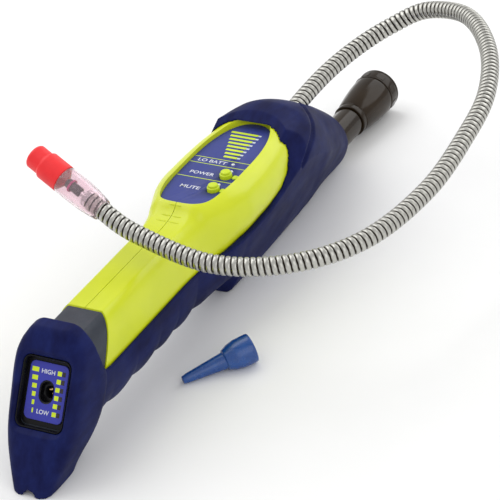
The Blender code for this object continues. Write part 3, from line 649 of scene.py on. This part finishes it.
PARTING_GAP_HALF = 0.16
RIM_FLOOR = PANEL_TOP - 1.6
# rounded rim of the display opening: height, inset of the panel's outline
RIM_LEVELS = [(RIM_FLOOR, 0.0), (69.8, 0.0), (70.7, -0.10), (71.3, -0.35), (71.75, -0.85),
              (72.05, -1.6), (72.3, -2.6), (76.0, -2.6)]


def housing_halves():
    """Both moulded halves, parted on the mid-plane, with a rounded rim round the display."""
    for side, node in ((-1, "housing_left"), (1, "housing_right")):
        half = housing_body(node + "_shell", 0.0, 1.5, 112, LIME)
        bisect(half, (side * PARTING_GAP_HALF, 0, 0), (-side, 0, 0))
        bisect(half, *plane_of(SEAM_PLACE, 0.0))
        rings = [[(x, y, z) for x, y in egg_outline(inset)] for z, inset in RIM_LEVELS]
        apply_boolean(half, ring_loft("rim_cutter", rings))
        apply_boolean(half, outline_plate("pit_cutter", egg_outline(2.0, 80), 55, RIM_FLOOR + 1))
        half.data.shade_smooth()
        half.data.set_sharp_from_angle(angle=math.radians(32))
        ride(half, "instrument", node, slot="lime")


GRIP_RIDGES = ((177.9, 3.6), (183.2, 6.0), (187.6, 7.6))


def embossed_lines():
    """Short grip ridges across the slope in front of the head, each a station and a half width."""
    steps = 10
    for index, (station, half) in enumerate(GRIP_RIDGES):
        for side in (-1, 1):
            rings = []
            for k in range(steps + 1):
                x = side * (0.5 + (half - 0.5) * k / steps)
                level = surface_height(x, station)
                size = 0.34 * math.sqrt(max(0.0, 1 - (2 * k / steps - 1) ** 4)) + 0.02
                rings.append([(x, y_at(station) + size * 1.3 * math.cos(a),
                               level + size * math.sin(a)) for a in even_angles(10)])
            word = "left" if side < 0 else "right"
            item = ring_loft(f"grip_ridge_{word}_{index + 1}", rings, LIME)
            ride(item, "instrument", slot="lime")


def surface_height(x, station):
    """Height of the housing's top at a distance from the mid-plane, leaving out the crease."""
    half, middle, top, power = section_at(HOUSING_SECTIONS, station, (1, 2, 3, 5))
    inside = max(0.0, 1 - abs(x / half) ** power)
    return middle + (top - middle) * inside ** (1 / power)


def end_cap():
    rings = [housing_ring((station,) + HOUSING_SECTIONS[-1][1:], -0.5, 112)
             for station in (205.0, 340.0)]
    body = ring_loft("end_cap_body", rings, SLATE, triangulate=True)
    point, normal = plane_of(SEAM_PLACE, 0.3)
    bisect(body, point, -normal)
    bisect(body, *plane_of(LEVEL_PLACE, LEVEL_SEAT))
    hole = outline_plate("socket_cutter", rounded_rectangle(*SOCKET_HOLE_HALF, 4.2), -16, 5,
                         place=LEVEL_PLACE)
    apply_boolean(body, hole)
    edge_bevel(body, 0.35)
    ride(body, "instrument", "end_cap", slot="slate")


# ---- printing and lamps

def text_piece(name, words, size, place, material, width):
    """Generic wording as thin raised ink."""
    curve = bpy.data.curves.new(name, "FONT")
    curve.body = words
    curve.size = size * MM
    curve.align_x = "CENTER"
    curve.align_y = "CENTER"
    curve.extrude = 0.02 * MM
    curve.offset = 0.035 * MM
    curve.resolution_u = 3
    holder = link_object(name + "_curve", curve)
    bpy.context.view_layer.update()
    mesh = final_mesh(holder)
    bpy.data.objects.remove(holder, do_unlink=True)
    spread = max(v.co.x for v in mesh.vertices) - min(v.co.x for v in mesh.vertices)
    shrink = Matrix.Diagonal((width * MM / spread, 1, 1, 1))
    move = place.copy()
    move.translation = place.translation * MM
    mesh.transform(move @ shrink)
    mesh.materials.append(material)
    return ride(link_object(name, mesh), "instrument", slot="label")


def flat_marks(name, shapes, low, high, place, material):
    """Several small flat shapes joined as one piece."""
    bm = bmesh.new()
    for outline in shapes:
        base, lid = [[bm.verts.new(p * MM) for p in ring]
                     for ring in placed(place, [(outline, low), (outline, high)])]
        bridge(bm, base, lid)
        bm.faces.new(list(reversed(base)))
        bm.faces.new(lid)
    return ride(add_object(name, bm, material), "instrument", slot="label")


def bar(x0, x1, y0, y1):
    return [(x0, y0), (x1, y0), (x1, y1), (x0, y1)]


def egg_width(station, inset):
    """Half width of the panel at a station."""
    along = (y_at(station) - y_at(PANEL_STATION)) / (PANEL_LENGTH_HALF - inset)
    power = PANEL_FRONT_POWER if along < 0 else PANEL_REAR_POWER
    return (PANEL_WIDTH_HALF - inset) * max(0.0, 1 - abs(along) ** power) ** (1 / power)


CUTTER_BASE = 62
LEVEL_BAR_STATION = 97.2
LEVEL_BAR_PITCH = 3.52
LEVEL_BAR_COUNT = 8
PANEL_RULE_STATIONS = (125.6, 131.6, 146.0)
# words, station, centre across, width
PANEL_WORDS = (("LO BATT", 128.6, -5.4, 17.0), ("POWER", 141.2, -4.9, 14.4),
               ("MUTE", 155.6, -4.2, 11.6))


def display_panel():
    plate = outline_plate("panel_plate", egg_outline(0.25), PANEL_TOP - 1.2, PANEL_TOP, PANEL_BLUE)
    for station in (POWER_STATION, MUTE_STATION):
        place = (BUTTON_X, y_at(station), CUTTER_BASE)
        apply_boolean(plate, rod("hole_cutter", 3.72, 8, place, (0, 0, 1), 48))
    for node in LAMP_NODES:
        centre = node_box(node)[2]
        place = (centre.x, centre.y, CUTTER_BASE)
        apply_boolean(plate, rod("hole_cutter", 1.45, 8, place, (0, 0, 1), 32))
    ride(plate, "instrument", "display_panel", slot="label")
    flat = Matrix.Identity(4)
    flat.translation = (0, 0, PANEL_TOP)
    bars = []
    tips = []
    for k in range(LEVEL_BAR_COUNT):
        y = y_at(LEVEL_BAR_STATION + LEVEL_BAR_PITCH * k)
        left = -10.4 + 8.4 * k / (LEVEL_BAR_COUNT - 1)
        bars.append(bar(left, 6.0, y - 0.85, y + 0.85))
        tips.append(bar(6.2, 8.0, y - 0.75, y + 0.55))
    flat_marks("level_bars_ink", bars, 0.0, 0.05, flat, INK_LIME)
    flat_marks("level_bar_windows", tips, 0.0, 0.07, flat, LAMP_PALE)
    rules = []
    for station in PANEL_RULE_STATIONS:
        reach = egg_width(station, 0.6)
        y = y_at(station)
        rules.append(bar(-reach, reach, y - 0.22, y + 0.22))
    flat_marks("panel_rules", rules, 0.0, 0.05, flat, INK_LIME)
    for words, station, x, width in PANEL_WORDS:
        place = Matrix.Translation((x, y_at(station), PANEL_TOP + 0.03))
        text_piece("word_" + words.replace(" ", "_").lower(), words, 3.9, place, INK_WHITE, width)


def lamps():
    for node in LAMP_NODES:
        low, _, centre = node_box(node)
        profile = [(0, 0), (1.1, 0), (1.1, 5.2), (1.02, 5.55), (0.8, 5.75), (0.4, 5.86), (0, 5.9)]
        lens = turned(node + "_lens", profile, (centre.x, centre.y, low.z / MM), (0, 0, 1),
                      LAMP_PALE, 32)
        ride(lens, "instrument", node, slot="led")


def push_buttons():
    """Low domed caps, each with a small moulded tab beside it."""
    for node in BUTTON_NODES:
        low, high, centre = node_box(node)
        tall = (high.z - low.z) / MM
        profile = [(0, 0), (3.4, 0), (3.4, tall - 2.0), (3.3, tall - 1.7), (2.95, tall - 1.55),
                   (2.75, tall - 1.4), (2.7, tall - 0.7), (2.5, tall - 0.35), (2.0, tall - 0.12),
                   (1.0, tall - 0.02), (0, tall)]
        cap = turned(node + "_cap", profile, (centre.x, centre.y, low.z / MM), (0, 0, 1),
                     BUTTON_LIME, 48)
        ride(cap, node, node, slot="lime")
        rings = []
        for size, z in ((0.0, 0.02), (0.0, 0.55), (-0.25, 0.8), (-0.7, 0.9)):
            outline = rounded_rectangle(1.5 + size, 1.7 + size, 1.0 + size * 0.5, 6)
            rings.append([(centre.x + 5.5 + x, centre.y + y, PANEL_TOP + z) for x, y in outline])
        ride(ring_loft(node + "_tab", rings, BUTTON_LIME), "instrument", slot="lime")


# inset, height above the label
BEZEL_PROFILE = ((0.0, -1.1), (0.0, 2.7), (0.2, 3.0), (0.65, 3.0), (0.85, 2.7), (0.95, -1.1))


def level_display():
    plate = outline_plate("level_plate", rounded_rectangle(*LEVEL_HALF, 3.0), -0.8, 0.0,
                          LABEL_BLUE, place=LEVEL_PLACE)
    hole = outline_plate("oval_cutter", rounded_rectangle(*JACK_HALF, 4.1), -3, 3,
                         place=LEVEL_PLACE)
    apply_boolean(plate, hole)
    edge_bevel(plate, 0.18, 2, 50)
    ride(plate, "instrument", "level_label", slot="label")
    surround = outline_plate("level_surround", rounded_rectangle(12.9, 17.1, 3.9), -1.18, -0.86,
                             BLACK, place=LEVEL_PLACE)
    hole = outline_plate("oval_cutter", rounded_rectangle(*SOCKET_HOLE_HALF, 4.5), -3, 3,
                         place=LEVEL_PLACE)
    apply_boolean(surround, hole)
    ride(surround, "instrument", slot="black")
    rings = placed(LEVEL_PLACE, [
        (rounded_rectangle(13.75 - inset, 17.95 - inset, 4.3 - inset), level)
        for inset, level in BEZEL_PROFILE], RECESS_DROP)
    ride(ring_loft("level_bezel", rings, BLACK, closed=True), "instrument", slot="black")
    left = []
    right = []
    windows = []
    for k in range(6):
        y = 10.2 - 4.05 * k
        low, high = y - 1.15, y + 1.15
        left.append(bar(-5.9 - (3.9 - 0.62 * k), -5.9, low, high))
        right.append(bar(4.9, 7.3, low, high))
        windows.append(bar(7.55, 9.4, low, high))
    flat_marks("level_left_ink", left, 0.0, 0.04, LEVEL_PLACE, INK_LIME)
    flat_marks("level_right_ink", right, 0.0, 0.04, LEVEL_PLACE, INK_LIME)
    flat_marks("level_windows", windows, 0.0, 0.04, LEVEL_PLACE, LAMP_DARK)
    for words, y, width in (("HIGH", 9.9, 7.6), ("LOW", -10.2, 7.0)):
        place = LEVEL_PLACE @ Matrix.Translation((-0.4, y, 0.03))
        text_piece("word_" + words.lower(), words, 3.1, place, INK_WHITE, width)


def jack():
    """Dark oval well with a collar ring, a bore and a glint of spring contact."""
    inner = rounded_rectangle(3.5, 5.2, 3.45)
    outer = rounded_rectangle(JACK_HALF[0] - 0.05, JACK_HALF[1] - 0.05, 4.05)
    rings = placed(LEVEL_PLACE, [(inner, -3.6), (inner, -0.5), (outer, -0.2), (outer, -14.5)])
    well = ring_loft("jack_well", rings, BLACK)
    start, normal = plane_of(LEVEL_PLACE, -12)
    apply_boolean(well, rod("bore_cutter", 2.9, 12, start, normal, 40))
    ride(well, "instrument", "jack_socket", slot="black")
    for index, (x, y) in enumerate(((0.9, 1.6), (1.9, -0.4))):
        spot = LEVEL_PLACE @ Vector((x, y, -4.6))
        tip = turned(f"jack_spring_{index + 1}", [(0, 0), (0.55, 0), (0.65, 0.5), (0.45, 1.0),
                                                  (0, 1.15)], spot, normal, BRASS, 24)
        ride(tip, "instrument", slot="brass")


# ---- rubber boot

def boot_ring(section, count):
    station, half, middle, top, bottom, upper_power, lower_power, taper = section
    ring = []
    for angle in even_angles(count, 0.5):
        if math.sin(angle) >= 0:
            x, z = superellipse(angle, upper_power)
            ring.append((half * x, y_at(station), middle + (top - middle) * z))
        else:
            x, z = superellipse(angle, lower_power)
            narrow = 1 + taper * z
            ring.append((half * x * narrow, y_at(station), middle + (middle - bottom) * z))
    return ring


def grip_sections():
    """Boot sections with a lobe between each two finger notches, and on to the nose."""
    sections = []
    for first, second in zip(GRIP_NOTCHES, GRIP_NOTCHES[1:]):
        for k in range(12):
            part = k / 12
            bottom = GRIP_NOTCH_Z - GRIP_LOBE * math.sin(math.pi * part) ** 0.8
            station = first + (second - first) * part
            sections.append((station, GRIP_HALF, 43.0, 68.0, bottom, HANDLE_POWER, 2.4, 0.06))
    for station, bottom in ((GRIP_NOTCHES[-1], GRIP_NOTCH_Z), (300.0, 11.0)):
        sections.append((station, GRIP_HALF, 43.0, 68.0, bottom, HANDLE_POWER, 2.4, 0.06))
    return sections


def nose_block():
    rings = []
    for height, half, rear, front in fine_sections(NOSE_LEVELS, 1.2):
        ring = []
        for angle in even_angles(96, 0.5):
            x, along = superellipse(angle, NOSE_POWER)
            station = (rear + front) / 2 + (front - rear) / 2 * along
            ring.append((half * x, y_at(station), height))
        rings.append(ring)
    return ring_loft("boot_nose", rings, triangulate=True)


# Styling groove round the rear dome: station and angle up from the side
STYLE_GROOVE = [(97.0, 0.0), (85.0, 12.0), (75.0, 23.0), (65.0, 40.0), (58.0, 58.0), (47.0, 90.0)]
GROOVE_R = 1.7


def style_groove():
    spots = []
    for station, degrees in STYLE_GROOVE:
        half, middle, top, power = section_at(BOOT_REAR, station, (1, 2, 3, 5))
        x, z = superellipse(math.radians(degrees), power)
        spots.append(Vector((half * x, y_at(station), middle + (top - middle) * z)))
    mirrored = [Vector((-p.x, p.y, p.z)) for p in spots[:-1]]
    path = smooth_route(spots + list(reversed(mirrored)), 8)
    rings = [tube_ring(here, (after - before).normalized(), GROOVE_R, 16)
             for before, here, after in zip(path, path[1:], path[2:])]
    return ring_loft("groove_cutter", rings, triangulate=True)


# holes in the boot for the flashlight's barrel, the gooseneck and the notch under the nose
POCKET_R = 9.35
POCKET_STATION = 93
NECK_CLEARANCE = 0.45
NOTCH_R = 3.6
NOTCH_STATION = 356.5


def boot():
    """Rubber boot: one moulding, remeshed so that every edge and joint is softly rounded."""
    rear = fine_sections(BOOT_REAR, 1.5)
    rings = [boot_ring(section, 96) for section in rear + grip_sections()]
    body = ring_loft("boot_skin", rings, NAVY, triangulate=True)
    apply_boolean(body, nose_block(), "UNION")
    apply_boolean(body, outline_plate("ground_cutter", bar(-90, 90, -300, 120), -40, GROUND_Z))
    fit = housing_body("fit_cutter", 0.2, 2.0, 96, ends=0.5)
    bisect(fit, *plane_of(LEVEL_PLACE, LEVEL_SEAT))
    apply_boolean(body, fit)
    rings = [[(x, y_at(station), height) for station, height in outline]
             for x, outline in OPENING_STEPS]
    apply_boolean(body, ring_loft("opening_cutter", rings))
    recess = [(rounded_rectangle(*size), level) for level, *size in RECESS_STEPS]
    rings = placed(LEVEL_PLACE, recess, RECESS_DROP)
    apply_boolean(body, ring_loft("recess_cutter", rings))
    apply_boolean(body, rod("pocket_cutter", POCKET_R, 110, (0, y_at(POCKET_STATION), TORCH_Z),
                            (0, 1, 0), 64))
    socket = [neck_ring(at, NECK_R + NECK_CLEARANCE, 32) for at in np.linspace(0.5, 60, 24)]
    apply_boolean(body, ring_loft("neck_cutter", socket))
    apply_boolean(body, rod("notch_cutter", NOTCH_R, 30, (0, y_at(NOTCH_STATION), -0.6),
                            (0, 1, 0), 40))
    apply_boolean(body, style_groove())
    remesh = body.modifiers.new("even_skin", "REMESH")
    remesh.mode = "VOXEL"
    remesh.voxel_size = 0.7 * MM
    remesh.use_smooth_shade = True
    smooth = body.modifiers.new("soft_edges", "SMOOTH")
    smooth.factor = 0.5
    smooth.iterations = 3
    bake(body)
    body.data.shade_smooth()
    ride(body, "instrument", "protective_boot", slot="navy")


# ---- gooseneck

NECK_ROUTE = [
    (0, 32, 53), (0, 51, 56), (4, 78, 61), (12, 102, 66), (25, 121, 72), (45, 129, 81),
    (77, 115, 89), (105, 80, 90.5), (121, 41, 87), (125, 4, 82), (124, -43, 76),
    (112, -91, 73), (85, -122, 72), (48, -137, 74), (5, -135, 82), (-16, -131, 89.5),
    (-23, -129.7, 92.9),
]
NECK_ANCHOR_LENGTH = 28.0
NECK_SEGMENTS = 6


NECK_SPOTS = [Vector(p) for p in NECK_ROUTE]
CURVE = np.array([list(p) for p in smooth_route(NECK_SPOTS, 24) + [NECK_SPOTS[-1]]])
TRAVEL = np.concatenate([[0.0], np.cumsum(np.linalg.norm(np.diff(CURVE, axis=0), axis=1))])
NECK_TOTAL = float(TRAVEL[-1])


def neck_at(distance):
    """Point and direction of the gooseneck at a distance along it."""
    point, ahead, behind = (np.array([np.interp(at, TRAVEL, CURVE[:, k]) for k in range(3)])
                            for at in (distance, distance + 1.5, distance - 1.5))
    return Vector(point), Vector(ahead - behind).normalized()


def neck_ring(distance, radius, count):
    return tube_ring(*neck_at(distance), radius, count)


def rib(phase):
    """Height of the wound strip's profile, 0 in the groove and 1 on the rib."""
    p = phase % 1.0
    if p < 0.16:
        return 0.5 - 0.5 * math.cos(math.pi * p / 0.16)
    if p < 0.74:
        return 1.0 - 0.12 * abs(p - 0.45) / 0.29
    if p < 0.88:
        return 0.44 + 0.44 * math.cos(math.pi * (p - 0.74) / 0.14)
    return 0.0


def hose_length(name, start, end):
    """Length of strip-wound hose: one helical rib per pitch round a hollow tube."""
    count = max(2, round((end - start) / NECK_PITCH * RIB_STEPS))
    bm = bmesh.new()
    heights = []
    grid = []
    for k in range(count + 1):
        distance = start + (end - start) * k / count

        def reach(angle, distance=distance):
            phase = distance / NECK_PITCH + angle / (2 * math.pi)
            return NECK_R - RIB_DEPTH + RIB_DEPTH * rib(phase)

        ring = neck_ring(distance, reach, NECK_ROUND)
        grid.append([bm.verts.new(p * MM) for p in ring])
        heights += [rib(distance / NECK_PITCH + i / NECK_ROUND) for i in range(NECK_ROUND)]
    inner_steps = max(2, round((end - start) / 6))
    for k in range(inner_steps, -1, -1):
        part = k / inner_steps
        ring = neck_ring(start + (end - start) * part, NECK_BORE_R, NECK_ROUND)
        grid.append([bm.verts.new(p * MM) for p in ring])
        # the bore gets rib height 0, so it takes the painted shade of the grooves
        heights += [0.0] * NECK_ROUND
    for first, second in zip(grid, grid[1:] + grid[:1]):
        bridge(bm, first, second)
    bmesh.ops.recalc_face_normals(bm, faces=bm.faces)
    mesh = bpy.data.meshes.new(name)
    bm.to_mesh(mesh)
    bm.free()
    layer = mesh.attributes.new("rib_height", "FLOAT", "POINT")
    layer.data.foreach_set("value", np.array(heights, np.float32))
    mesh.shade_smooth()
    mesh.set_sharp_from_angle(angle=math.radians(55))
    mesh.materials.append(HOSE)
    return link_object(name, mesh)


def gooseneck():
    """The hose is one continuous tube, cut at each link's middle; only the last length is attached
    to a link.
    """
    length = (NECK_TOTAL - NECK_ANCHOR_LENGTH) / NECK_SEGMENTS
    cuts = [0.6] + [NECK_ANCHOR_LENGTH + length * (k + 0.5) for k in range(NECK_SEGMENTS)]
    cuts.append(NECK_TOTAL - 0.4)
    bodies = ["instrument"] + [f"neck_link_{k + 1}" for k in range(NECK_SEGMENTS)]
    for k in range(NECK_SEGMENTS):
        item = hose_length(f"neck_hose_{k + 1}", cuts[k], cuts[k + 1])
        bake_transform(item)
        nodes = ["neck_anchor"] if k == 0 else []
        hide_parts(*nodes, f"neck_segment_{k + 1}")
    last = hose_length("neck_hose_7", cuts[-2], cuts[-1])
    ride(last, bodies[-1], slot="steel")


# ---- sensor head

TIP_START = Vector((-16.0, -131.0, 89.5))
TIP_DIRECTION = Vector((-0.893, 0.188, 0.409)).normalized()
SLEEVE_LENGTH = 26.5
SLEEVE_R = 7.65


def sensor_head():
    """Clear sleeve with the socket, sensor and seal inside, and the red cap that pulls off."""

    def part(name, profile, along, material, steps, slot, *nodes, body="neck_link_6"):
        start = TIP_START + TIP_DIRECTION * along
        ride(turned(name, profile, start, TIP_DIRECTION, material, steps), body, *nodes, slot=slot)

    outer = [(5.3, 0.0), (5.75, 0.0), (5.95, 0.5), (6.4, 3.0), (6.8, 6.0), (7.15, 9.0),
             (7.4, 12.0), (7.58, 16.0), (SLEEVE_R, 20.0), (SLEEVE_R, SLEEVE_LENGTH - 0.3),
             (SLEEVE_R - 0.2, SLEEVE_LENGTH)]
    inner = [(6.5, SLEEVE_LENGTH), (6.45, 18.0), (6.3, 12.0), (5.9, 6.5), (5.5, 2.5), (5.3, 1.0)]
    part("sensor_sleeve_clear", outer + inner, 0.0, CLEAR, 72, "clear", "sensor_sleeve")
    socket = soften([(0, 0), (4.6, 0), (4.6, 3.0), (3.4, 3.3), (1.8, 3.6), (1.6, 6.4), (0, 6.4)])
    part("sensor_socket_body", socket, 8.3, STEEL, 48, "brass", "sensor_socket")
    element = soften([(0, 0), (2.6, 0), (2.6, 8.2), (2.3, 9.0), (0, 9.0)])
    part("sensor_element_can", element, 15.0, GREY, 48, "grey", "sensor_element")
    seal = [(2.7, 8.6), (3.5, 8.6), (3.6, 9.0), (3.5, 9.5), (2.7, 9.5)]
    part("sensor_seal", seal, 12.0, MAGENTA, 48, "red")
    length = 21.6
    step = 12.9
    outer = soften([(5.6, 0), (SLEEVE_R, 0), (SLEEVE_R, step - 0.6), (6.9, step + 0.4),
                    (6.6, step + 0.9), (6.65, length - 1.2), (5.6, length), (1.5, length)], 0.5, 4)
    inner = [(1.5, 19.4), (4.6, 19.4), (4.6, 13.0), (5.6, 12.0)]
    part("sensor_cap_red", outer + inner, SLEEVE_LENGTH + 0.3, RED, 72, "red", "sensor_cap",
         body="probe_cap")


# ---- flashlight

FACE_CAP_LENGTH = 9.7
FACE_FLATS = 8


def flashlight():
    """Penlight: turned parts with a domed flare, ring grooves and flats round the face cap."""

    def ends(node):
        return [corner.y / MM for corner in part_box(node)]

    def part(word, profile, start, body="flashlight_head", slot="torch", material=TORCH_BLACK):
        item = turned("torch_" + word, profile, (0, start, TORCH_Z), (0, 1, 0), material, 96)
        ride(item, body, "flashlight_" + word, slot=slot)

    head_rear = ends("flashlight_head")[0]
    face = ends("flashlight_face_cap")[1] - FACE_CAP_LENGTH
    start, end = ends("flashlight_barrel")
    reach = end - start
    outer = soften([(7.6, 0), (9.0, 0), (9.0, reach - 14.6), (8.1, reach - 14.4),
                    (8.1, reach - 0.2), (7.6, reach)], 0.25)
    part("barrel", outer, start, "flashlight")
    cap = soften([(0, 0), (7.8, 0), (9.0, 1.2), (9.0, 11.7), (0, 11.7)], 0.4)
    part("tail_cap", cap, ends("flashlight_tail_cap")[0], "flashlight")
    head = face - 0.3 - head_rear
    outer = soften([(8.5, 0), (9.5, 0), (9.95, 0.4), (9.95, 3.2), (9.75, 3.5), (9.75, 4.1),
                    (10.1, 4.4), (10.9, 9.5), (11.75, 16.0), (12.4, 23.0), (12.7, 29.0),
                    (12.7, head - 0.4), (12.4, head), (11.3, head)], 0.35)
    part("head", outer + [(11.3, 21.0), (8.5, 15.0)], head_rear)
    outer = soften([(11.0, 0), (12.5, 0), (12.85, 0.35), (12.85, 6.9), (12.5, 7.2), (12.5, 7.8),
                    (12.75, 8.1), (12.6, 9.0), (11.9, FACE_CAP_LENGTH),
                    (10.2, FACE_CAP_LENGTH)], 0.25)
    part("face_cap", outer + [(10.2, 7.0), (11.0, 6.0)], face)
    lens = soften([(0, 0), (10.6, 0), (10.6, 1.4), (0, 1.4)], 0.2)
    part("lens", lens, face + 4.2, slot="glass", material=GLASS)
    bowl = [(10.4, 14.0), (10.4, 15.0), (9.6, 15.0), (8.6, 11.6), (6.8, 7.0), (5.2, 4.2),
            (3.4, 2.0), (2.6, 0), (3.2, 0), (4.0, 1.0), (7.6, 6.0)]
    part("reflector", bowl, face - 11.2, slot="mirror", material=MIRROR)
    for k, angle in enumerate(even_angles(FACE_FLATS, 0.5)):
        centre = Vector((12.5 * math.cos(angle), face + 3.6, TORCH_Z + 12.5 * math.sin(angle)))
        normal = Vector((math.cos(angle), 0, math.sin(angle)))
        along = Vector((0, 1, 0))
        across = along.cross(normal)
        place = Matrix((across, along, normal)).transposed().to_4x4()
        place.translation = centre
        pad = outline_plate(f"torch_flat_{k + 1}", rounded_rectangle(2.6, 2.1, 0.6, 4), -0.4, 0.42,
                            TORCH_BLACK, place)
        edge_bevel(pad, 0.12, 2)
        ride(pad, "flashlight_head", slot="torch")


# ---- loose nozzle

def nozzle():
    """Tapered blue nozzle lying on the ground, its tip forward."""
    tip = Vector((26.0, -144.0, 2.2))
    mouth = Vector((51.0, -113.0, 8.05))
    direction = (mouth - tip).normalized()
    length = 40.3
    outer = soften([(0.9, 0), (2.0, 0), (2.6, 3.0), (4.6, length - 16.2), (5.5, length - 15.9),
                    (5.7, length - 15.2), (6.9, length - 12.5), (7.8, length - 8.5),
                    (8.0, length - 1.2), (7.7, length), (6.6, length)], 0.45, 4)
    inner = [(6.6, length - 10.5), (4.0, length - 14.0), (2.6, length - 15.0), (1.0, 6.0)]
    item = turned("nozzle_body", outer + inner, tip, direction, NOZZLE_BLUE, 72)
    ride(item, "nozzle", "probe_nozzle", slot="nozzle")


# ---- CAD nodes kept as they are

HIDDEN_FINISHES = {
    STEEL: ("housing_screw_1", "housing_screw_2", "rear_contact_plate", "front_contact_plate"),
    BLACK: ("power_switch", "mute_switch", "microcontroller", "sounder"),
    BOARD: ("circuit_board",),
    LAMP_PALE: ("display_led_bar", "level_led_strip"),
    BRASS: ("jack_contact",),
    CELL_WRAP: ("battery_cell_1", "battery_cell_2", "battery_cell_3", "battery_cell_4",
                "flashlight_cell_1", "flashlight_cell_2"),
    GREY: ("cap_filter",),
    GLASS: ("flashlight_bulb",),
}


def finish_cad_nodes():
    for material, names in HIDDEN_FINISHES.items():
        for name in names:
            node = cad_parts[name]
            node.data.materials.clear()
            node.data.materials.append(material)


# ---- stage

CAMERA_RIGHT = Vector((0.87741, 0.46689, -0.11029))
CAMERA_UP = Vector((-0.16786, 0.51413, 0.84113))
CAMERA_BACK = Vector((0.44942, -0.71950, 0.52948))
CAMERA_PLACE = Vector((655.07, -1069.86, 773.29))
FOCAL_PIXELS = 2640
PHOTO_PIXELS = 500
SENSOR_WIDTH = 36.0


def camera():
    data = bpy.data.cameras.new("camera")
    data.sensor_width = SENSOR_WIDTH
    data.lens = FOCAL_PIXELS / PHOTO_PIXELS * SENSOR_WIDTH
    data.clip_start = 0.05
    item = link_object("camera", data)
    matrix = Matrix((CAMERA_RIGHT, CAMERA_UP, CAMERA_BACK)).transposed().to_4x4()
    matrix.translation = CAMERA_PLACE * MM
    item.matrix_world = matrix
    bpy.context.scene.camera = item


# name, place, size and power in watts; all in metres, and aimed at the same point
LIGHTS = (("key", (-0.9, 0.1, 1.3), (1.6, 1.4), 11), ("fill", (1.3, -0.9, 0.9), (1.4, 1.4), 5),
          ("rear", (0.5, 1.3, 0.9), (1.6, 0.9), 7))
LIGHT_TARGET = (0.03, -0.06, 0.03)
WORLD_STRENGTH = 0.72
FLOOR_DROP = 0.0001


def area_light(name, place, size, power):
    data = bpy.data.lights.new(name, "AREA")
    data.shape = "RECTANGLE"
    data.size = size[0]
    data.size_y = size[1]
    data.energy = power
    item = link_object(name, data)
    item.location = place
    aim = Vector(LIGHT_TARGET) - Vector(place)
    item.rotation_mode = "QUATERNION"
    item.rotation_quaternion = aim.to_track_quat("-Z", "Y")


def stage():
    bm = bmesh.new()
    bmesh.ops.create_grid(bm, x_segments=2, y_segments=2, size=6.0)
    paint = two_tone("studio_floor", (0.90, 0.90, 0.90), (0.93, 0.93, 0.93), 6, (0.7, 0.8), 0.02)
    floor = add_object("studio_floor", bm, paint)
    floor.location.z = GROUND_Z * MM - FLOOR_DROP
    world = bpy.data.worlds.new("studio")
    bpy.context.scene.world = world
    world.use_nodes = True
    background = world.node_tree.nodes["Background"]
    background.inputs["Color"].default_value = (1.0, 1.0, 1.0, 1.0)
    background.inputs["Strength"].default_value = WORLD_STRENGTH
    for light in LIGHTS:
        area_light(*light)
    bpy.context.scene.view_settings.view_transform = "Standard"


# ---- assembly

housing_halves()
embossed_lines()
end_cap()
display_panel()
lamps()
push_buttons()
level_display()
jack()
boot()
gooseneck()
sensor_head()
flashlight()
nozzle()
finish_cad_nodes()
camera()
stage()
